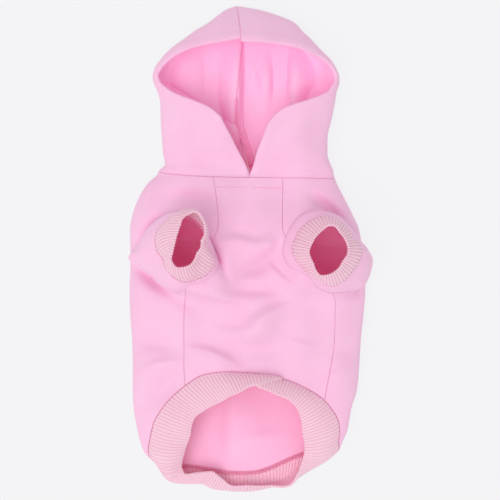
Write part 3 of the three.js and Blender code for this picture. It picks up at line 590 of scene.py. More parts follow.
@dataclass(frozen=True)
class Form:
    """The garment's form: its sizes in millimetres, and its outer surface as a function of turn and Y."""

    body_length: float = 237.0
    body_width: float = 187.0
    body_height: float = 42.0
    hood_length: float = 135.5
    hood_width: float = 148.0
    hood_height: float = 48.0
    band_overhang: float = 16.0
    sleeve_width: float = 62.0
    sleeve_reach: float = 20.0
    cuff_rise: float = 21.0
    fleece_wall: float = 2.0
    rib_wall: float = 2.4
    seam_gap: float = 0.16
    seam_passes: int = 6
    fold_depth: float = 12.0
    mound_height: float = 19.0
    mound_reach: float = 1.05
    mound_all_round: float = 0.45
    mound_inwards: float = 0.8
    mound_hemwards: float = 0.42
    lift_ease: float = 2.0
    ripple_depth: float = 4.4
    ripple_pitch: float = 31.0
    ripple_growth: float = 0.25
    ripple_phase: float = 1.7
    ripple_waves: int = 5
    golden_turn: float = 0.382
    corner_power: float = 0.75
    rest_share: float = 0.75
    neck_fade: float = 0.2

    @property
    def neck_y(self) -> float:
        """Y of the neck seam."""
        return (self.hood_length + self.body_length + self.band_overhang) / 2 - self.hood_length

    @cached_property
    def body_sections(self) -> Table:
        """Sections of the body in millimetres."""
        sizes = (self.body_length, *[self.body_width] * 3, *[self.body_height] * 2)
        return Table(SECTION_COLUMNS, BODY_SECTIONS.rows * sizes)

    @cached_property
    def hood_sections(self) -> Table:
        """Sections of the hood in millimetres, from the body's first one on."""
        sizes = (self.hood_length, *[self.hood_width] * 3, *[self.hood_height] * 2)
        return Table(SECTION_COLUMNS, np.vstack([self.body_sections.rows[:1], HOOD_SECTIONS.rows * sizes]))

    def section(self, column: str, y: Array) -> Array:
        """One column of the cross-sections at places along Y."""
        below = self.body_sections.read(column, self.neck_y - y)
        above = self.hood_sections.read(column, y - self.neck_y)
        return np.where(y <= self.neck_y, below, above)

    def fold_lift(self, folds: Table, width: float, length: float, x: Array, y: Array) -> Array:
        """Height that folds add to a side of the garment.

        A fold is its profile times exp(-l^2) along its line, with l in half lengths of the fold.

        Args:
            folds: the folds.
            width: width that their shares are taken of.
            length: length that their shares are taken of, from the neck seam along Y.
            x: places along X.
            y: places along Y.

        Returns:
            The lift at each place.
        """
        lift = np.zeros(np.broadcast(x, y).shape)
        for shape, across, along, reach, wide, lean, depth, bend in folds.rows:
            dx = x - across * width
            dy = y - (self.neck_y + along * length)
            cosine, sine = heading(lean)
            lengthwise = (dx * cosine + dy * sine) / (reach * width)
            sideways = (dy * cosine - dx * sine) / (wide * width) - bend * lengthwise**2
            lift += depth * self.fold_depth * FoldShape(shape).profile(sideways) * bell(lengthwise)
        return lift

    def ripple(self, x: Array, y: Array) -> Array:
        """Slight unevenness of the cloth: waves whose directions are a golden turn apart."""
        total = np.zeros(np.broadcast(x, y).shape)
        for k in range(self.ripple_waves):
            cosine, sine = heading(k * self.golden_turn)
            pitch = self.ripple_pitch * (1.0 + self.ripple_growth * k)
            total += np.sin((x * cosine + y * sine) * FULL_TURN / pitch + self.ripple_phase * k)
        return total * self.ripple_depth / self.ripple_waves

    def sleeve_mounds(self, x: Array, y: Array) -> Array:
        """Height by which the cloth rises towards the sleeves, on the sides that face the chest.

        It is exp(-r^4) about each sleeve, with r in reaches of the mound past the sleeve's foot.

        Args:
            x: places along X.
            y: places along Y.

        Returns:
            The lift at each place.
        """
        total = np.zeros(np.broadcast(x, y).shape)
        for side, rings in SLEEVE_RINGS.items():
            dx = x - rings.read("across", FOOT_RING) * self.body_width
            dy = y - (self.neck_y - rings.read("along", FOOT_RING) * self.body_length)
            turn = np.arctan2(dy, dx) / FULL_TURN
            cosine, sine = heading(turn)
            radius = SLEEVE_LOOPS[side].read("foot", turn) * self.sleeve_width
            away = np.hypot(dx, dy) / (radius * self.mound_reach)
            facing = self.mound_all_round - self.mound_inwards * side.value * cosine
            facing = np.clip(facing - self.mound_hemwards * sine, 0.0, 1.0)
            total += self.mound_height * facing * bell(away**2)
        return total

    def belly_lift(self, x: Array, y: Array) -> Array:
        """Height that folds, mounds and ripples add to the belly side."""
        folds = self.fold_lift(BELLY_FOLDS, self.body_width, -self.body_length, x, y)
        return folds + self.sleeve_mounds(x, y) + self.ripple(x, y)

    def back_lift(self, x: Array, y: Array) -> Array:
        """Height that folds lift the back off the surface below.

        With h the height of the folds less the ease e, it is (h + sqrt(h^2 + e^2)) / 2 less its value
        where there is no fold, and nowhere below zero.

        Args:
            x: places along X.
            y: places along Y.

        Returns:
            The lift at each place.
        """
        hood = self.fold_lift(HOOD_BACK_FOLDS, self.hood_width, self.hood_length, x, y)
        body = self.fold_lift(BODY_BACK_FOLDS, self.body_width, -self.body_length, x, y)
        past_neck = np.clip((y - self.neck_y) / (self.neck_fade * self.hood_length), -1.0, 1.0)
        folds = np.where(past_neck > 0, hood, body) * np.abs(past_neck)
        ease = self.lift_ease
        with_folds, without = [(height + np.hypot(height, ease)) / 2 for height in (folds - ease, -ease)]
        return np.maximum(0.0, with_folds - without)

    def outer_point(self, turn: Array, y: Array) -> Array:
        """Points of the outer surface.

        x is the centre plus the way to the edge times |sin|^p, and the belly side's height is the fold's
        plus the rest times |cos|^p. The underside is flat where |cos|^p passes the resting share, apart
        from the folds in the back.

        Args:
            turn: turns round the section.
            y: places along Y.

        Returns:
            One point for each turn and place.
        """
        turn, y = np.broadcast_arrays(np.asarray(turn, float), np.asarray(y, float))
        cosine, sine = heading(turn)
        across = np.abs(sine) ** self.corner_power
        lift = np.abs(cosine) ** self.corner_power
        centre = self.section("centre", y)
        edge = np.where(sine >= 0, self.section("left", y), self.section("right", y))
        fold = self.section("fold", y)
        height = self.section("height", y)
        x = centre + (edge - centre) * across
        underside = fold * np.maximum(0.0, 1.0 - lift / self.rest_share) + self.back_lift(x, y) * lift
        crown = fold + (height - fold) * lift + self.belly_lift(x, y) * lift
        return np.stack([x, y, np.where(cosine > 0, underside, crown)], axis=-1)

    def turn_at(self, x: Array, y: Array) -> Array:
        """Turns at which the belly side of the sections at y pass x."""
        centre = self.section("centre", y)
        edge = np.where(x < centre, self.section("left", y), self.section("right", y))
        share = np.minimum(1.0, (x - centre) / (edge - centre))
        return 0.5 + np.where(x < centre, -1.0, 1.0) * self.turn_of_share(share)

    def turn_of_share(self, share: Array) -> Array:
        """Turn from the middle at which a section is that share of its half width across."""
        return np.arcsin(share ** (1.0 / self.corner_power)) / FULL_TURN

    def neck_at(self, turn: Array) -> Array:
        """Y of the neck seam round the body."""
        return self.neck_y + NECK_LINE.read("rise", turn) * self.body_length

    def body_point(self, turn: Array, v: Array) -> Array:
        """Points on the body, from the neck seam at v 0 to the hem seam at v 1."""
        start = self.neck_at(turn) - self.seam_gap / 2
        hem = self.neck_y - HEM_LINE.read("along", turn) * self.body_length
        return self.outer_point(turn, start + (hem - start) * v)

    def hood_point(self, turn: Array, along: Array) -> Array:
        """Points on the hood, at shares of its length from the neck seam."""
        rise = self.neck_at(turn) - self.neck_y + self.seam_gap / 2
        rise = rise * np.maximum(0.0, 1.0 - along / self.neck_fade)
        return self.outer_point(turn, self.neck_y + rise + along * self.hood_length)

    def chest_seam_turn(self, side: Side, v: Array, offset: float) -> Array:
        """Turns of a chest seam, some way to one side of the seam line.

        Each pass takes the turn at the seam's x from the place along Y that the last turn gives.

        Args:
            side: which seam.
            v: shares of the way from the neck seam to the hem seam.
            offset: how far along X from the seam line.

        Returns:
            One turn for each share.
        """
        x = CHEST_SEAMS.read(side.word, v) * self.body_width + offset
        turn = np.full_like(v, 0.5)
        for _ in range(self.seam_passes):
            turn = self.turn_at(x, self.body_point(turn, v)[..., 1])
        return turn


def outward_normal(surface: Surface, u: Array, v: Array, facing: int) -> Array:
    """Outward normals of a surface of two parameters, from its neighbours.

    The normal is the cross product of the steps along v and along u. The first row has no part along Y, so
    that two pieces that meet at the neck seam turn the same way there.

    Args:
        surface: the surface.
        u: first parameter on a grid.
        v: second parameter on the grid, from 0 to 1 along its rows.
        facing: 1 or -1, whichever points out.

    Returns:
        One normal for each grid point.
    """
    around = surface(u + PROBE, v) - surface(u - PROBE, v)
    along = surface(u, np.minimum(1.0, v + PROBE)) - surface(u, np.maximum(0.0, v - PROBE))
    normal = facing * np.cross(along, around)
    normal[0] = np.stack([-around[0, :, 2], 0 * around[0, :, 0], around[0, :, 0]], axis=-1)
    return unit(normal)


def grid_normals(points: Array) -> Array:
    """Normals of a round stack of rings, as the cross product of the way round and the way along."""
    return unit(np.cross(steps_round(points, 1), np.gradient(points, axis=0)))


def numbered(shape: tuple[int, ...], closed: bool) -> Numbers:
    """Numbers of a grid's points, with the first of each row again at its end where the rows close."""
    number = np.arange(math.prod(shape)).reshape(shape)
    return np.concatenate([number, number[..., :1]], axis=-1) if closed else number


def cells(number: Numbers) -> Numbers:
    """Four-sided faces of grids, from the numbers of their points."""
    corners = [number[..., :-1, :-1], number[..., :-1, 1:], number[..., 1:, 1:], number[..., 1:, :-1]]
    return np.stack(corners, axis=-1).reshape(-1, 4)


def sheets(points: Array, normal: Array, half: float, stand: Array) -> tuple[Array, Array]:
    """Outer and inner sheet of a cloth whose middle lies half its thickness under its outer points.

    Args:
        points: outer points.
        normal: their outward normals.
        half: half the cloth's thickness.
        stand: how far each sheet stands from the middle.

    Returns:
        The points of the outer and of the inner sheet.
    """
    middle = points - normal * half
    lift = stand[..., None] * normal
    return middle + lift, middle - lift


@dataclass
class Shape:
    """What a mesh is made of: its points, its faces, which of them lie inside, and its painted shade near
    seams and in valleys.
    """

    vertices: Array
    faces: Numbers
    inside: Numbers
    seam: Array

    @classmethod
    def wall(cls, outer: Array, inner: Array, seam: Array, closed: bool = False) -> Shape:
        """Cloth between two sheets of points, with strips that close its edges.

        Args:
            outer: grid of points of the outer sheet.
            inner: the same of the inner one.
            seam: share of painted shade at each point, from 0 to 1, near seams and in valleys.
            closed: whether the rows close on themselves.

        Returns:
            The cloth, with the inner sheet as its inside.
        """
        number = numbered(seam.shape, closed)
        edges = [(number[0], -1), (number[-1], 1)]
        if not closed:
            edges += [(number[:, 0], 1), (number[:, -1], -1)]
        strips = [cells(np.stack([edge, edge + seam.size]))[:, ::way] for edge, way in edges]
        sheet = cells(number)
        faces = np.vstack([sheet, cells(number + seam.size)[:, ::-1], *strips])
        inside = np.zeros(len(faces), np.int32)
        inside[len(sheet) : 2 * len(sheet)] = 1
        return cls(np.stack([outer, inner]).reshape(-1, 3), faces, inside, np.tile(seam.ravel(), 2))


@dataclass(frozen=True)
class Stitching:
    """A row of stitches: their number, sizes, depth in the cloth, and turn from the seam to across it."""

    count: int
    length: float
    radius: float
    sink: float
    lean: float = 0.0
    rings: int = 6
    sides: int = 8

    def sew(self, points: Array, along: Array, out: Array) -> Shape:
        """Stitches in one piece, each an ellipsoid of thread.

        Its points are cos(p) along it, and sin(p) times cos(q) and sin(q) across it.

        Args:
            points: middles of the stitches.
            along: their directions.
            out: outward normals there.

        Returns:
            The stitches.
        """
        polar = np.linspace(0.0, math.pi, self.rings)[:, None, None]
        cosine, sine = heading(even_turns(self.sides)[:, None])
        frame = (points, along, np.cross(along, out), out)
        place, axis, side, up = [vectors[:, None, None, :] for vectors in frame]
        thick = self.radius * np.sin(polar)
        middle = place + self.length / 2 * np.cos(polar) * axis
        vertices = middle + thick * cosine * side + thick * sine * up
        faces = cells(numbered(vertices.shape[:-1], closed=True))
        vertices = vertices.reshape(-1, 3)
        return Shape(vertices, faces, np.zeros(len(faces), np.int32), np.zeros(len(vertices)))

    def sew_round(self, points: Array, normals: Array) -> Shape:
        """Stitches on a closed seam, sunk under each of its evenly spaced points.

        Args:
            points: points of the seam.
            normals: outward normals there.

        Returns:
            The stitches.
        """
        points = points - normals * self.sink
        tangent = unit(steps_round(points, 0))
        across = unit(np.cross(normals, tangent))
        cosine, sine = heading(self.lean)
        out = unit(np.cross(across, tangent))
        return self.sew(points, tangent * cosine + across * sine, out)


def placed(name: str, data: bpy.types.ID) -> Piece:
    """An object of that name in the scene, at the origin."""
    made = bpy.data.objects.new(name, data)
    bpy.context.scene.collection.objects.link(made)
    return made


def mesh_object(name: str, vertices: Array, faces: Sequence[Sequence[int]]) -> Piece:
    """A mesh object from points in millimetres and the numbers of each face's points."""
    mesh = bpy.data.meshes.new(name)
    mesh.from_pydata((vertices * MILLIMETRE).tolist(), [], faces)
    return placed(name, mesh)


def clean(made: Piece, sharp_degrees: float) -> None:
    """Merge doubles, drop empty faces, turn faces outwards, and shade smooth up to an angle.

    Args:
        made: the piece.
        sharp_degrees: edges that bend by more than this stay sharp.
    """
    mesh = made.data
    work = bmesh.new()
    work.from_mesh(mesh)
    bmesh.ops.remove_doubles(work, verts=work.verts, dist=MERGE_DISTANCE * MILLIMETRE)
    bmesh.ops.dissolve_degenerate(work, edges=work.edges, dist=EMPTY_LENGTH * MILLIMETRE)
    bmesh.ops.recalc_face_normals(work, faces=work.faces)
    work.to_mesh(mesh)
    work.free()
    mesh.polygons.foreach_set("use_smooth", np.ones(len(mesh.polygons), bool))
    mesh.set_sharp_from_angle(angle=math.radians(sharp_degrees))
    mesh.update()


def cut(made: Piece, tools: Sequence[Piece]) -> None:
    """Take closed tools out of a closed piece, and keep the result as the piece's own mesh."""
    for tool in tools:
        modifier = made.modifiers.new("cut", "BOOLEAN")
        modifier.operation = "DIFFERENCE"
        modifier.solver = "EXACT"
        modifier.object = tool
    bpy.context.view_layer.update()
    graph = bpy.context.evaluated_depsgraph_get()
    result = bpy.data.meshes.new_from_object(made.evaluated_get(graph))
    made.modifiers.clear()
    made.data = result


def plug(name: str, rings: Array) -> Piece:
    """A closed solid through rings of points, with a flat fan over each end."""
    rows, columns = rings.shape[:2]
    vertices = np.vstack([rings.reshape(-1, 3), rings[0].mean(axis=0), rings[-1].mean(axis=0)])
    number = numbered((rows, columns), closed=True)
    hub = np.full(columns, rows * columns)
    below = np.stack([hub, number[0, 1:], number[0, :-1]], axis=-1)
    above = np.stack([hub + 1, number[-1, :-1], number[-1, 1:]], axis=-1)
    made = mesh_object(name, vertices, [*cells(number).tolist(), *below.tolist(), *above.tolist()])
    clean(made, NEVER_SHARP_DEGREES)
    return made


class Value:
    """A node's output socket, on which Python's operators add Math nodes."""

    def __init__(self, shader: Shader, socket: bpy.types.NodeSocket | None) -> None:
        """Keep the socket, if the node has one, and the material that it belongs to."""
        self.shader = shader
        self.socket = socket

    def _math(self, operation: str, first: Value | float, second: Value | float) -> Value:
        """One Math node on two values."""
        return self.shader.node("ShaderNodeMath", {"operation": operation}, {0: first, 1: second})

    def __add__(self, other: Value | float) -> Value:
        """Sum."""
        return self._math("ADD", self, other)

    def __sub__(self, other: Value | float) -> Value:
        """Difference."""
        return self._math("SUBTRACT", self, other)

    def __rsub__(self, other: float) -> Value:
        """Difference, from the right."""
        return self._math("SUBTRACT", other, self)

    def __mul__(self, other: Value | float) -> Value:
        """Product."""
        return self._math("MULTIPLY", self, other)

    __radd__ = __add__
    __rmul__ = __mul__


class Shader:
    """A material's node tree, built node by node."""

    def __init__(self, name: str) -> None:
        """Start an empty material."""
        self.material = bpy.data.materials.new(name)
        self.material.use_nodes = True
        self.tree = self.material.node_tree
        self.tree.nodes.clear()

    def node(
        self,
        kind: str,
        settings: dict[str, object] | None = None,
        inputs: dict[str | int, object] | None = None,
        output: str | int = 0,
    ) -> Value:
        """Add one node.

        Args:
            kind: the node's type.
            settings: its own settings, set first.
            inputs: values or links of its sockets.
            output: which output to return.

        Returns:
            The output as a value.
        """
        made = self.tree.nodes.new(kind)
        for key, value in (settings or {}).items():
            setattr(made, key, value)
        for key, value in (inputs or {}).items():
            if isinstance(value, Value):
                self.tree.links.new(value.socket, made.inputs[key])
            else:
                made.inputs[key].default_value = value
        return Value(self, made.outputs[output] if made.outputs else None)

    def mix(self, share: Value | float, first: object, second: object) -> Value:
        """Colour between two colours."""
        settings = {"data_type": "RGBA", "clamp_factor": True}
        return self.node("ShaderNodeMix", settings, {0: share, 6: first, 7: second}, output=2)

    def noise(self, place: Value, pitch: float, detail: float = 2.0) -> Value:
        """Noise from 0 to 1 whose blots are about so many millimetres apart."""
        scale = 1.0 / (pitch * MILLIMETRE)
        inputs = {"Vector": place, "Scale": scale, "Detail": detail, "Roughness": 0.6}
        return self.node("ShaderNodeTexNoise", {"noise_dimensions": "3D"}, inputs)

    def wave(self, place: Value, direction: str, pitch: float, distortion: float) -> Value:
        """Sine wave from 0 to 1 along one axis, which the node makes as sin(20 scale x)."""
        settings = {"wave_type": "BANDS", "bands_direction": direction, "wave_profile": "SIN"}
        scale = FULL_TURN / (20.0 * pitch * MILLIMETRE)
        inputs = {"Vector": place, "Scale": scale, "Distortion": distortion}
        return self.node("ShaderNodeTexWave", settings, inputs)


def colour(tone: Tone) -> tuple[float, ...]:
    """A colour as a socket takes it, from screen values of 0 to 255 by the usual screen curve."""
    linear = [((c / 255 + 0.055) / 1.055) ** 2.4 if c > 10 else c / 255 / 12.92 for c in tone]
    return (*linear, 1.0)


@dataclass(frozen=True)
class ClothFinish:
    """A knitted cloth: its colour, how it varies, and the relief of its loops and nap, in millimetres."""

    name: str
    base: Tone
    pale: Tone
    deep: Tone
    sheen: float = 0.1
    sheen_tone: Tone = (1.0, 0.94, 1.0)
    sheen_roughness: float = 0.6
    roughness: float = 0.9
    specular: float = 0.15
    blot_pitch: float = 38.0
    blot_share: float = 1.1
    fleck_pitch: float = 2.2
    fleck_detail: float = 3.0
    fleck_share: float = 0.5
    # Share by which the painted shade of the seam attribute turns the colour to its deep tone.
    painted_shade_share: float = 0.35
    nap_pitch: float = 0.9
    nap_depth: float = 0.25
    loop_pitch: float = 0.8
    loop_depth: float = 0.12
    loop_distortion: float = 0.6
    relief_strength: float = 0.5

    def material(self) -> Material:
        """Build the cloth's material.

        The colour drifts between its pale and base tones over large and small blots, and turns to its deep
        tone by the seam attribute, which is painted shade along seams, in rib valleys, in stitch grooves and
        between raised thread loops. Noise raises the nap, and the product of two sine waves across each other
        raises the loops.

        Returns:
            The material.
        """
        shader = Shader(self.name)
        place = shader.node("ShaderNodeTexCoord", output="Object")
        blots = (shader.noise(place, self.blot_pitch) - 0.5) * self.blot_share
        flecks = (shader.noise(place, self.fleck_pitch, self.fleck_detail) - 0.5) * self.fleck_share
        tone = shader.mix(blots + flecks + 0.5, colour(self.base), colour(self.pale))
        # Painted shade: the seam attribute darkens the cloth to its deep tone at seams, rib valleys, stitch
        # grooves and between thread loops.
        seam = shader.node("ShaderNodeAttribute", {"attribute_name": "seam"}, output="Fac")
        tone = shader.mix(seam * self.painted_shade_share, tone, colour(self.deep))
        waves = [shader.wave(place, axis, self.loop_pitch, self.loop_distortion) for axis in "XY"]
        loops = waves[0] * waves[1] * (self.loop_depth / self.nap_depth)
        relief = shader.noise(place, self.nap_pitch) + loops
        inputs = {"Distance": self.nap_depth * MILLIMETRE, "Strength": self.relief_strength, "Height": relief}
        bump = shader.node("ShaderNodeBump", inputs=inputs)
        inputs = {
            "Base Color": tone,
            "Roughness": self.roughness,
            "Specular IOR Level": self.specular,
            "Sheen Weight": self.sheen,
            "Sheen Roughness": self.sheen_roughness,
            "Sheen Tint": (*self.sheen_tone, 1.0),
            "Normal": bump,
        }
        surface = shader.node("ShaderNodeBsdfPrincipled", inputs=inputs)
        shader.node("ShaderNodeOutputMaterial", inputs={"Surface": surface})
        return shader.material


@dataclass(frozen=True)
class Finishes:
    """The materials of the garment."""

    outside: Material
    lining: Material
    inside: Material
    rib: Material
    rib_inside: Material
    thread: Material
    pale_thread: Material

    @staticmethod
    def make() -> Finishes:
        """Build every finish."""
        # The lining, inside and rib_inside finishes are the cloth's brushed back, with tones set paler and
        # brighter than the outside ones: painted light that stands in for light coming through the thin cloth
        # into the hollows.
        finishes = [
            ClothFinish("fleece_outside", (241, 183, 215), (243, 194, 223), (230, 140, 184), sheen=0.25),
            ClothFinish("fleece_lining", (254, 199, 232), (254, 205, 236), (236, 128, 176)),
            ClothFinish("fleece_inside", (254, 190, 224), (254, 196, 230), (234, 120, 170)),
            ClothFinish("rib_knit", (236, 190, 207), (241, 204, 220), (220, 120, 160), sheen=0.3),
            ClothFinish("rib_inside", (245, 193, 214), (247, 204, 222), (214, 118, 152)),
            ClothFinish("thread", (218, 132, 168), (228, 148, 182), (210, 120, 156)),
            ClothFinish("pale_thread", (236, 150, 186), (242, 164, 196), (210, 100, 140)),
        ]
        return Finishes(*[finish.material() for finish in finishes])


def dress(
    name: str,
    shape: Shape,
    materials: Sequence[Material],
    replaces: Sequence[str] = (),
    cutters: Sequence[Piece] = (),
    sharp_degrees: float = 50.0,
) -> None:
    """Make a piece: its mesh, cuts, seam attribute of painted shade, materials and place in the frame.

    Args:
        name: the piece's name.
        shape: its points and faces.
        materials: its outside and inside finish.
        replaces: the solids that it stands for.
        cutters: closed solids that are taken out of it.
        sharp_degrees: edges that bend by more than this stay sharp.
    """
    made = mesh_object(name, shape.vertices, shape.faces.tolist())
    mesh = made.data
    # The seam attribute holds painted shade, which the materials read to darken the cloth.
    mesh.attributes.new("seam", "FLOAT", "POINT").data.foreach_set("value", shape.seam.astype(np.float32))
    mesh.polygons.foreach_set("material_index", shape.inside % len(materials))
    for material in materials:
        mesh.materials.append(material)
    if cutters:
        clean(made, NEVER_SHARP_DEGREES)
        cut(made, cutters)
    clean(made, sharp_degrees)
    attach(made, "root")
    if replaces:
        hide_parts(*replaces)
    LOG.info("%s: %d faces", name, len(made.data.polygons))


@dataclass
class Body:
    """Chest panel and back panel, sewn along the belly and cut out for the sleeves."""

    form: Form
    finishes: Finishes
    chest_columns: int = 90
    back_columns: int = 200
    column_crowd: float = 0.7
    rows: int = 150
    row_crowd: float = 0.6
    seam_roll: float = 0.8
    seam_floor: float = 0.8
    # Distance over which painted shade fades from the seams and edges.
    seam_shade_reach: float = 0.4
    pucker_pitch: float = 7.5
    pucker_wander: float = 1.5
    pucker_reach: float = 4.5
    pucker_depth: float = 0.12
    stitching: Stitching = Stitching(count=24, length=1.3, radius=0.3, sink=0.1)
    stitch_along: float = 0.052
    stitch_margin: float = 2.0
    hollow_margin: float = 0.04

    def panel(self, first: Side, last: Side, columns: int) -> Shape:
        """Wall of a panel, from one chest seam by the left or over the chest to the other.

        Each sheet stands half the wall from the middle of the cloth, less towards the four edges. Near the
        chest seams it puckers, as cos(2 pi d / pitch + wander sin(d / pitch)) down the seam.

        Args:
            first: the side of the seam at which it starts.
            last: the side of the seam at which it ends.
            columns: points from seam to seam.

        Returns:
            The wall.
        """
        form = self.form
        half = form.fleece_wall / 2
        v = crowded(self.rows, self.row_crowd)
        start = form.chest_seam_turn(first, v, form.seam_gap / 2)
        end = form.chest_seam_turn(last, v, -form.seam_gap / 2)
        round_back = 1.0 if first is Side.RIGHT else 0.0
        turn = start[:, None] + (round_back + end - start)[:, None] * crowded(columns, self.column_crowd)
        v = np.broadcast_to(v[:, None], turn.shape)
        points = form.body_point(turn, v)
        normal = outward_normal(form.body_point, turn, v, 1)
        down = lengths_along(points, 0)
        from_seam = to_ends(lengths_along(points, 1), 1)
        nearest = np.minimum(from_seam, to_ends(down, 0))
        wander = self.pucker_wander * np.sin(down / self.pucker_pitch)
        pucker = np.cos(down * FULL_TURN / self.pucker_pitch + wander) * bell(from_seam / self.pucker_reach)
        stand = half * rounded_edge(nearest, self.seam_roll, self.seam_floor)
        stand = stand + self.pucker_depth * (pucker - 1.0)
        # Painted shade: the cloth darkens towards the seams and edges of the panel.
        return Shape.wall(*sheets(points, normal, half, stand), bell(nearest / self.seam_shade_reach))

    def hollow(self) -> Piece:
        """Closed solid of the space inside the body's walls."""
        down = np.linspace(self.hollow_margin, 1.0 - self.hollow_margin, self.rows // 3)
        v, turn = grid(down, even_turns(self.back_columns))
        normal = outward_normal(self.form.body_point, turn, v, 1)
        return plug("hollow", self.form.body_point(turn, v) - normal * self.form.fleece_wall)

    def neck_stitches(self) -> Shape:
        """Row of stitches on the chest panel, a little below the neck seam."""
        form = self.form
        count = self.stitching.count
        v = np.full((2, count), self.stitch_along)
        inset = -self.stitch_margin
        left, right = [form.chest_seam_turn(side, v[0, :1], inset * side.value) for side in Side]
        turn = np.tile(np.linspace(left[0], right[0], count), (2, 1))
        points = form.body_point(turn, v)[1]
        out = outward_normal(form.body_point, turn, v, 1)[1]
        along = unit(np.gradient(points, axis=0))
        return self.stitching.sew(points - out * self.stitching.sink, along, out)

    def build(self, plugs: Sequence[Piece]) -> None:
        """Make both panels, with armholes where the plugs are, and the stitches at the neck."""
        cloths = [self.finishes.outside, self.finishes.inside]
        chest = self.panel(Side.LEFT, Side.RIGHT, self.chest_columns)
        back = self.panel(Side.RIGHT, Side.LEFT, self.back_columns)
        dress("chest_cloth", chest, cloths, ["chest_panel"], plugs)
        dress("back_cloth", back, cloths, ["back_panel"], plugs)
        dress("neck_stitches", self.neck_stitches(), [self.finishes.pale_thread])


@dataclass
class Hood:
    """Two halves of the hood, sewn along the back and the crown, with a hemmed face opening."""

    form: Form
    finishes: Finishes
    columns: int = 110
    column_crowd: float = 0.8
    neck_rows: tuple[float, ...] = (0.0, 0.004, 0.009)
    opening_rows: int = 110
    opening_steps: int = 2000
    crown_rows: int = 34
    hem_width: float = 8.0
    hem_extra: float = 0.45
    hem_softness: float = 0.5
    stitch_inset: float = 1.0
    stitch_width: float = 0.6
    stitch_depth: float = 0.15
    # Painted shade in the groove where the hem is stitched down.
    stitch_shade: float = 0.2
    seam_roll: float = 0.8
    seam_floor: float = 0.7
    seam_shade_reach: float = 0.4
    rim_roll: float = 1.3
    rim_floor: float = 0.15
    strip_width: float = 6.0
    strip_wall: float = 1.2
    strip_floor: float = 0.2
    strip_start: float = 0.04
    strip_end: float = 0.45
    strip_shift: float = 1.05
    strip_columns: int = 21
    strip_relief: float = 0.5
    # Painted shade between the raised thread loops of the seam allowance.
    loop_gap_shade: float = 0.7
    loops: int = 24
    rows_per_loop: int = 12
    loop_lean: float = 0.35
    loop_fade: float = 1.4
    loop_reach: float = 0.6

    def _front(self, side: Side, along: Array) -> Array:
        """Turn at which the half ends in front: at the rim, or at the middle where it is closed."""
        return 0.5 + side.value * self.form.turn_of_share(FACE_RIM.read(side.word, along))

    def _rows(self) -> Array:
        """Shares of the hood's length, at even steps along the longer rim and then up the crown."""
        fine = np.linspace(RIM_BOTTOM, RIM_TOP, self.opening_steps)
        lengths = lengths_along(self.form.hood_point(self._front(Side.RIGHT, fine), fine), 0)
        opening = np.interp(np.linspace(0.0, lengths[-1], self.opening_rows), lengths, fine)
        crown = np.linspace(RIM_TOP, 1.0, self.crown_rows)[1:]
        return np.concatenate([self.neck_rows, opening, crown])

    def half(self, side: Side) -> Shape:
        """Wall of one half, with its hem along the face opening.

        Each sheet stands half the wall from the middle of the cloth, less towards its edges and more within
        the hem, with a valley where the hem is stitched down. The hem ends as 1 / (1 + exp(d / softness)).

        Args:
            side: which half.

        Returns:
            The wall.
        """
        form = self.form
        rows = self._rows()
        back = 0.0 if side is Side.LEFT else 1.0
        reach = self._front(side, rows) - back
        turn = back + reach[:, None] * crowded(self.columns, self.column_crowd)
        along = np.broadcast_to(rows[:, None], turn.shape)
        points = form.hood_point(turn, along)
        normal = outward_normal(form.hood_point, turn, along, -1)
        is_open = (rows >= RIM_BOTTOM) & (rows <= RIM_TOP)
        from_rim = distance_to_line(points, points[is_open, -1])
        shift = side.value * form.seam_gap / 2
        points[:, 0, 0] += shift
        points[~is_open, -1, 0] += shift
        across = lengths_along(points, 1)
        from_seam = np.where(is_open[:, None], across, to_ends(across, 1))
        nearest = np.minimum(from_seam, lengths_along(points, 0))
        half = form.fleece_wall / 2
        past_hem = from_rim - self.hem_width
        hem = 1.0 / (1.0 + np.exp(past_hem / self.hem_softness))
        stitched = bell((past_hem + self.stitch_inset) / self.stitch_width) * hem
        stand = half + self.hem_extra * hem - self.stitch_depth * stitched
        stand = stand * rounded_edge(nearest, self.seam_roll, self.seam_floor)
        stand = stand * rounded_edge(from_rim, self.rim_roll, self.rim_floor)
        outer, inner = sheets(points, normal, half, stand)
        for sheet in (outer, inner):
            sheet[-1] = sheet[-1].mean(axis=0)
        # Painted shade along the seams and in the stitch groove of the hem.
        seam = np.maximum(bell(nearest / self.seam_shade_reach), self.stitch_shade * stitched)
        return Shape.wall(outer, inner, seam)

    def seam_strip(self) -> Shape:
        """Seam allowance over the centre seam inside the back of the hood, with loops of thread across it.

        A loop rises as |sin(pi (n + lean s))|, with n its number and s the share of the way across, and
        fades towards the left edge.

        Returns:
            The strip.
        """
        form = self.form
        half = self.strip_wall / 2
        loop, share = grid(
            np.linspace(0.0, 1.0, self.rows_per_loop * self.loops) * self.loops,
            np.linspace(1.0, -1.0, self.strip_columns),
        )
        along = self.strip_start + (self.strip_end - self.strip_start) * loop / self.loops
        outer = form.hood_point(np.zeros_like(along), along)
        outer[..., 0] += (share + self.strip_shift) * self.strip_width / 2
        ground = form.back_lift(outer[..., 0], outer[..., 1])
        fade = np.clip(self.loop_fade * (share + self.loop_reach), 0.0, 1.0)
        thread = np.abs(np.sin(math.pi * (loop + self.loop_lean * share))) * fade
        margin = (1.0 - np.abs(share)) * self.strip_width / 2
        stand = half * rounded_edge(margin, half, self.strip_floor)
        relief = self.strip_relief * thread * rounded_edge(margin, half)
        middle = ground + form.fleece_wall + 2 * form.seam_gap + half
        inner = outer.copy()
        outer[..., 2] = middle + stand + relief
        inner[..., 2] = middle - stand
        # Painted shade: the strip darkens between the raised thread loops.
        return Shape.wall(outer, inner, (1.0 - thread) * self.loop_gap_shade)

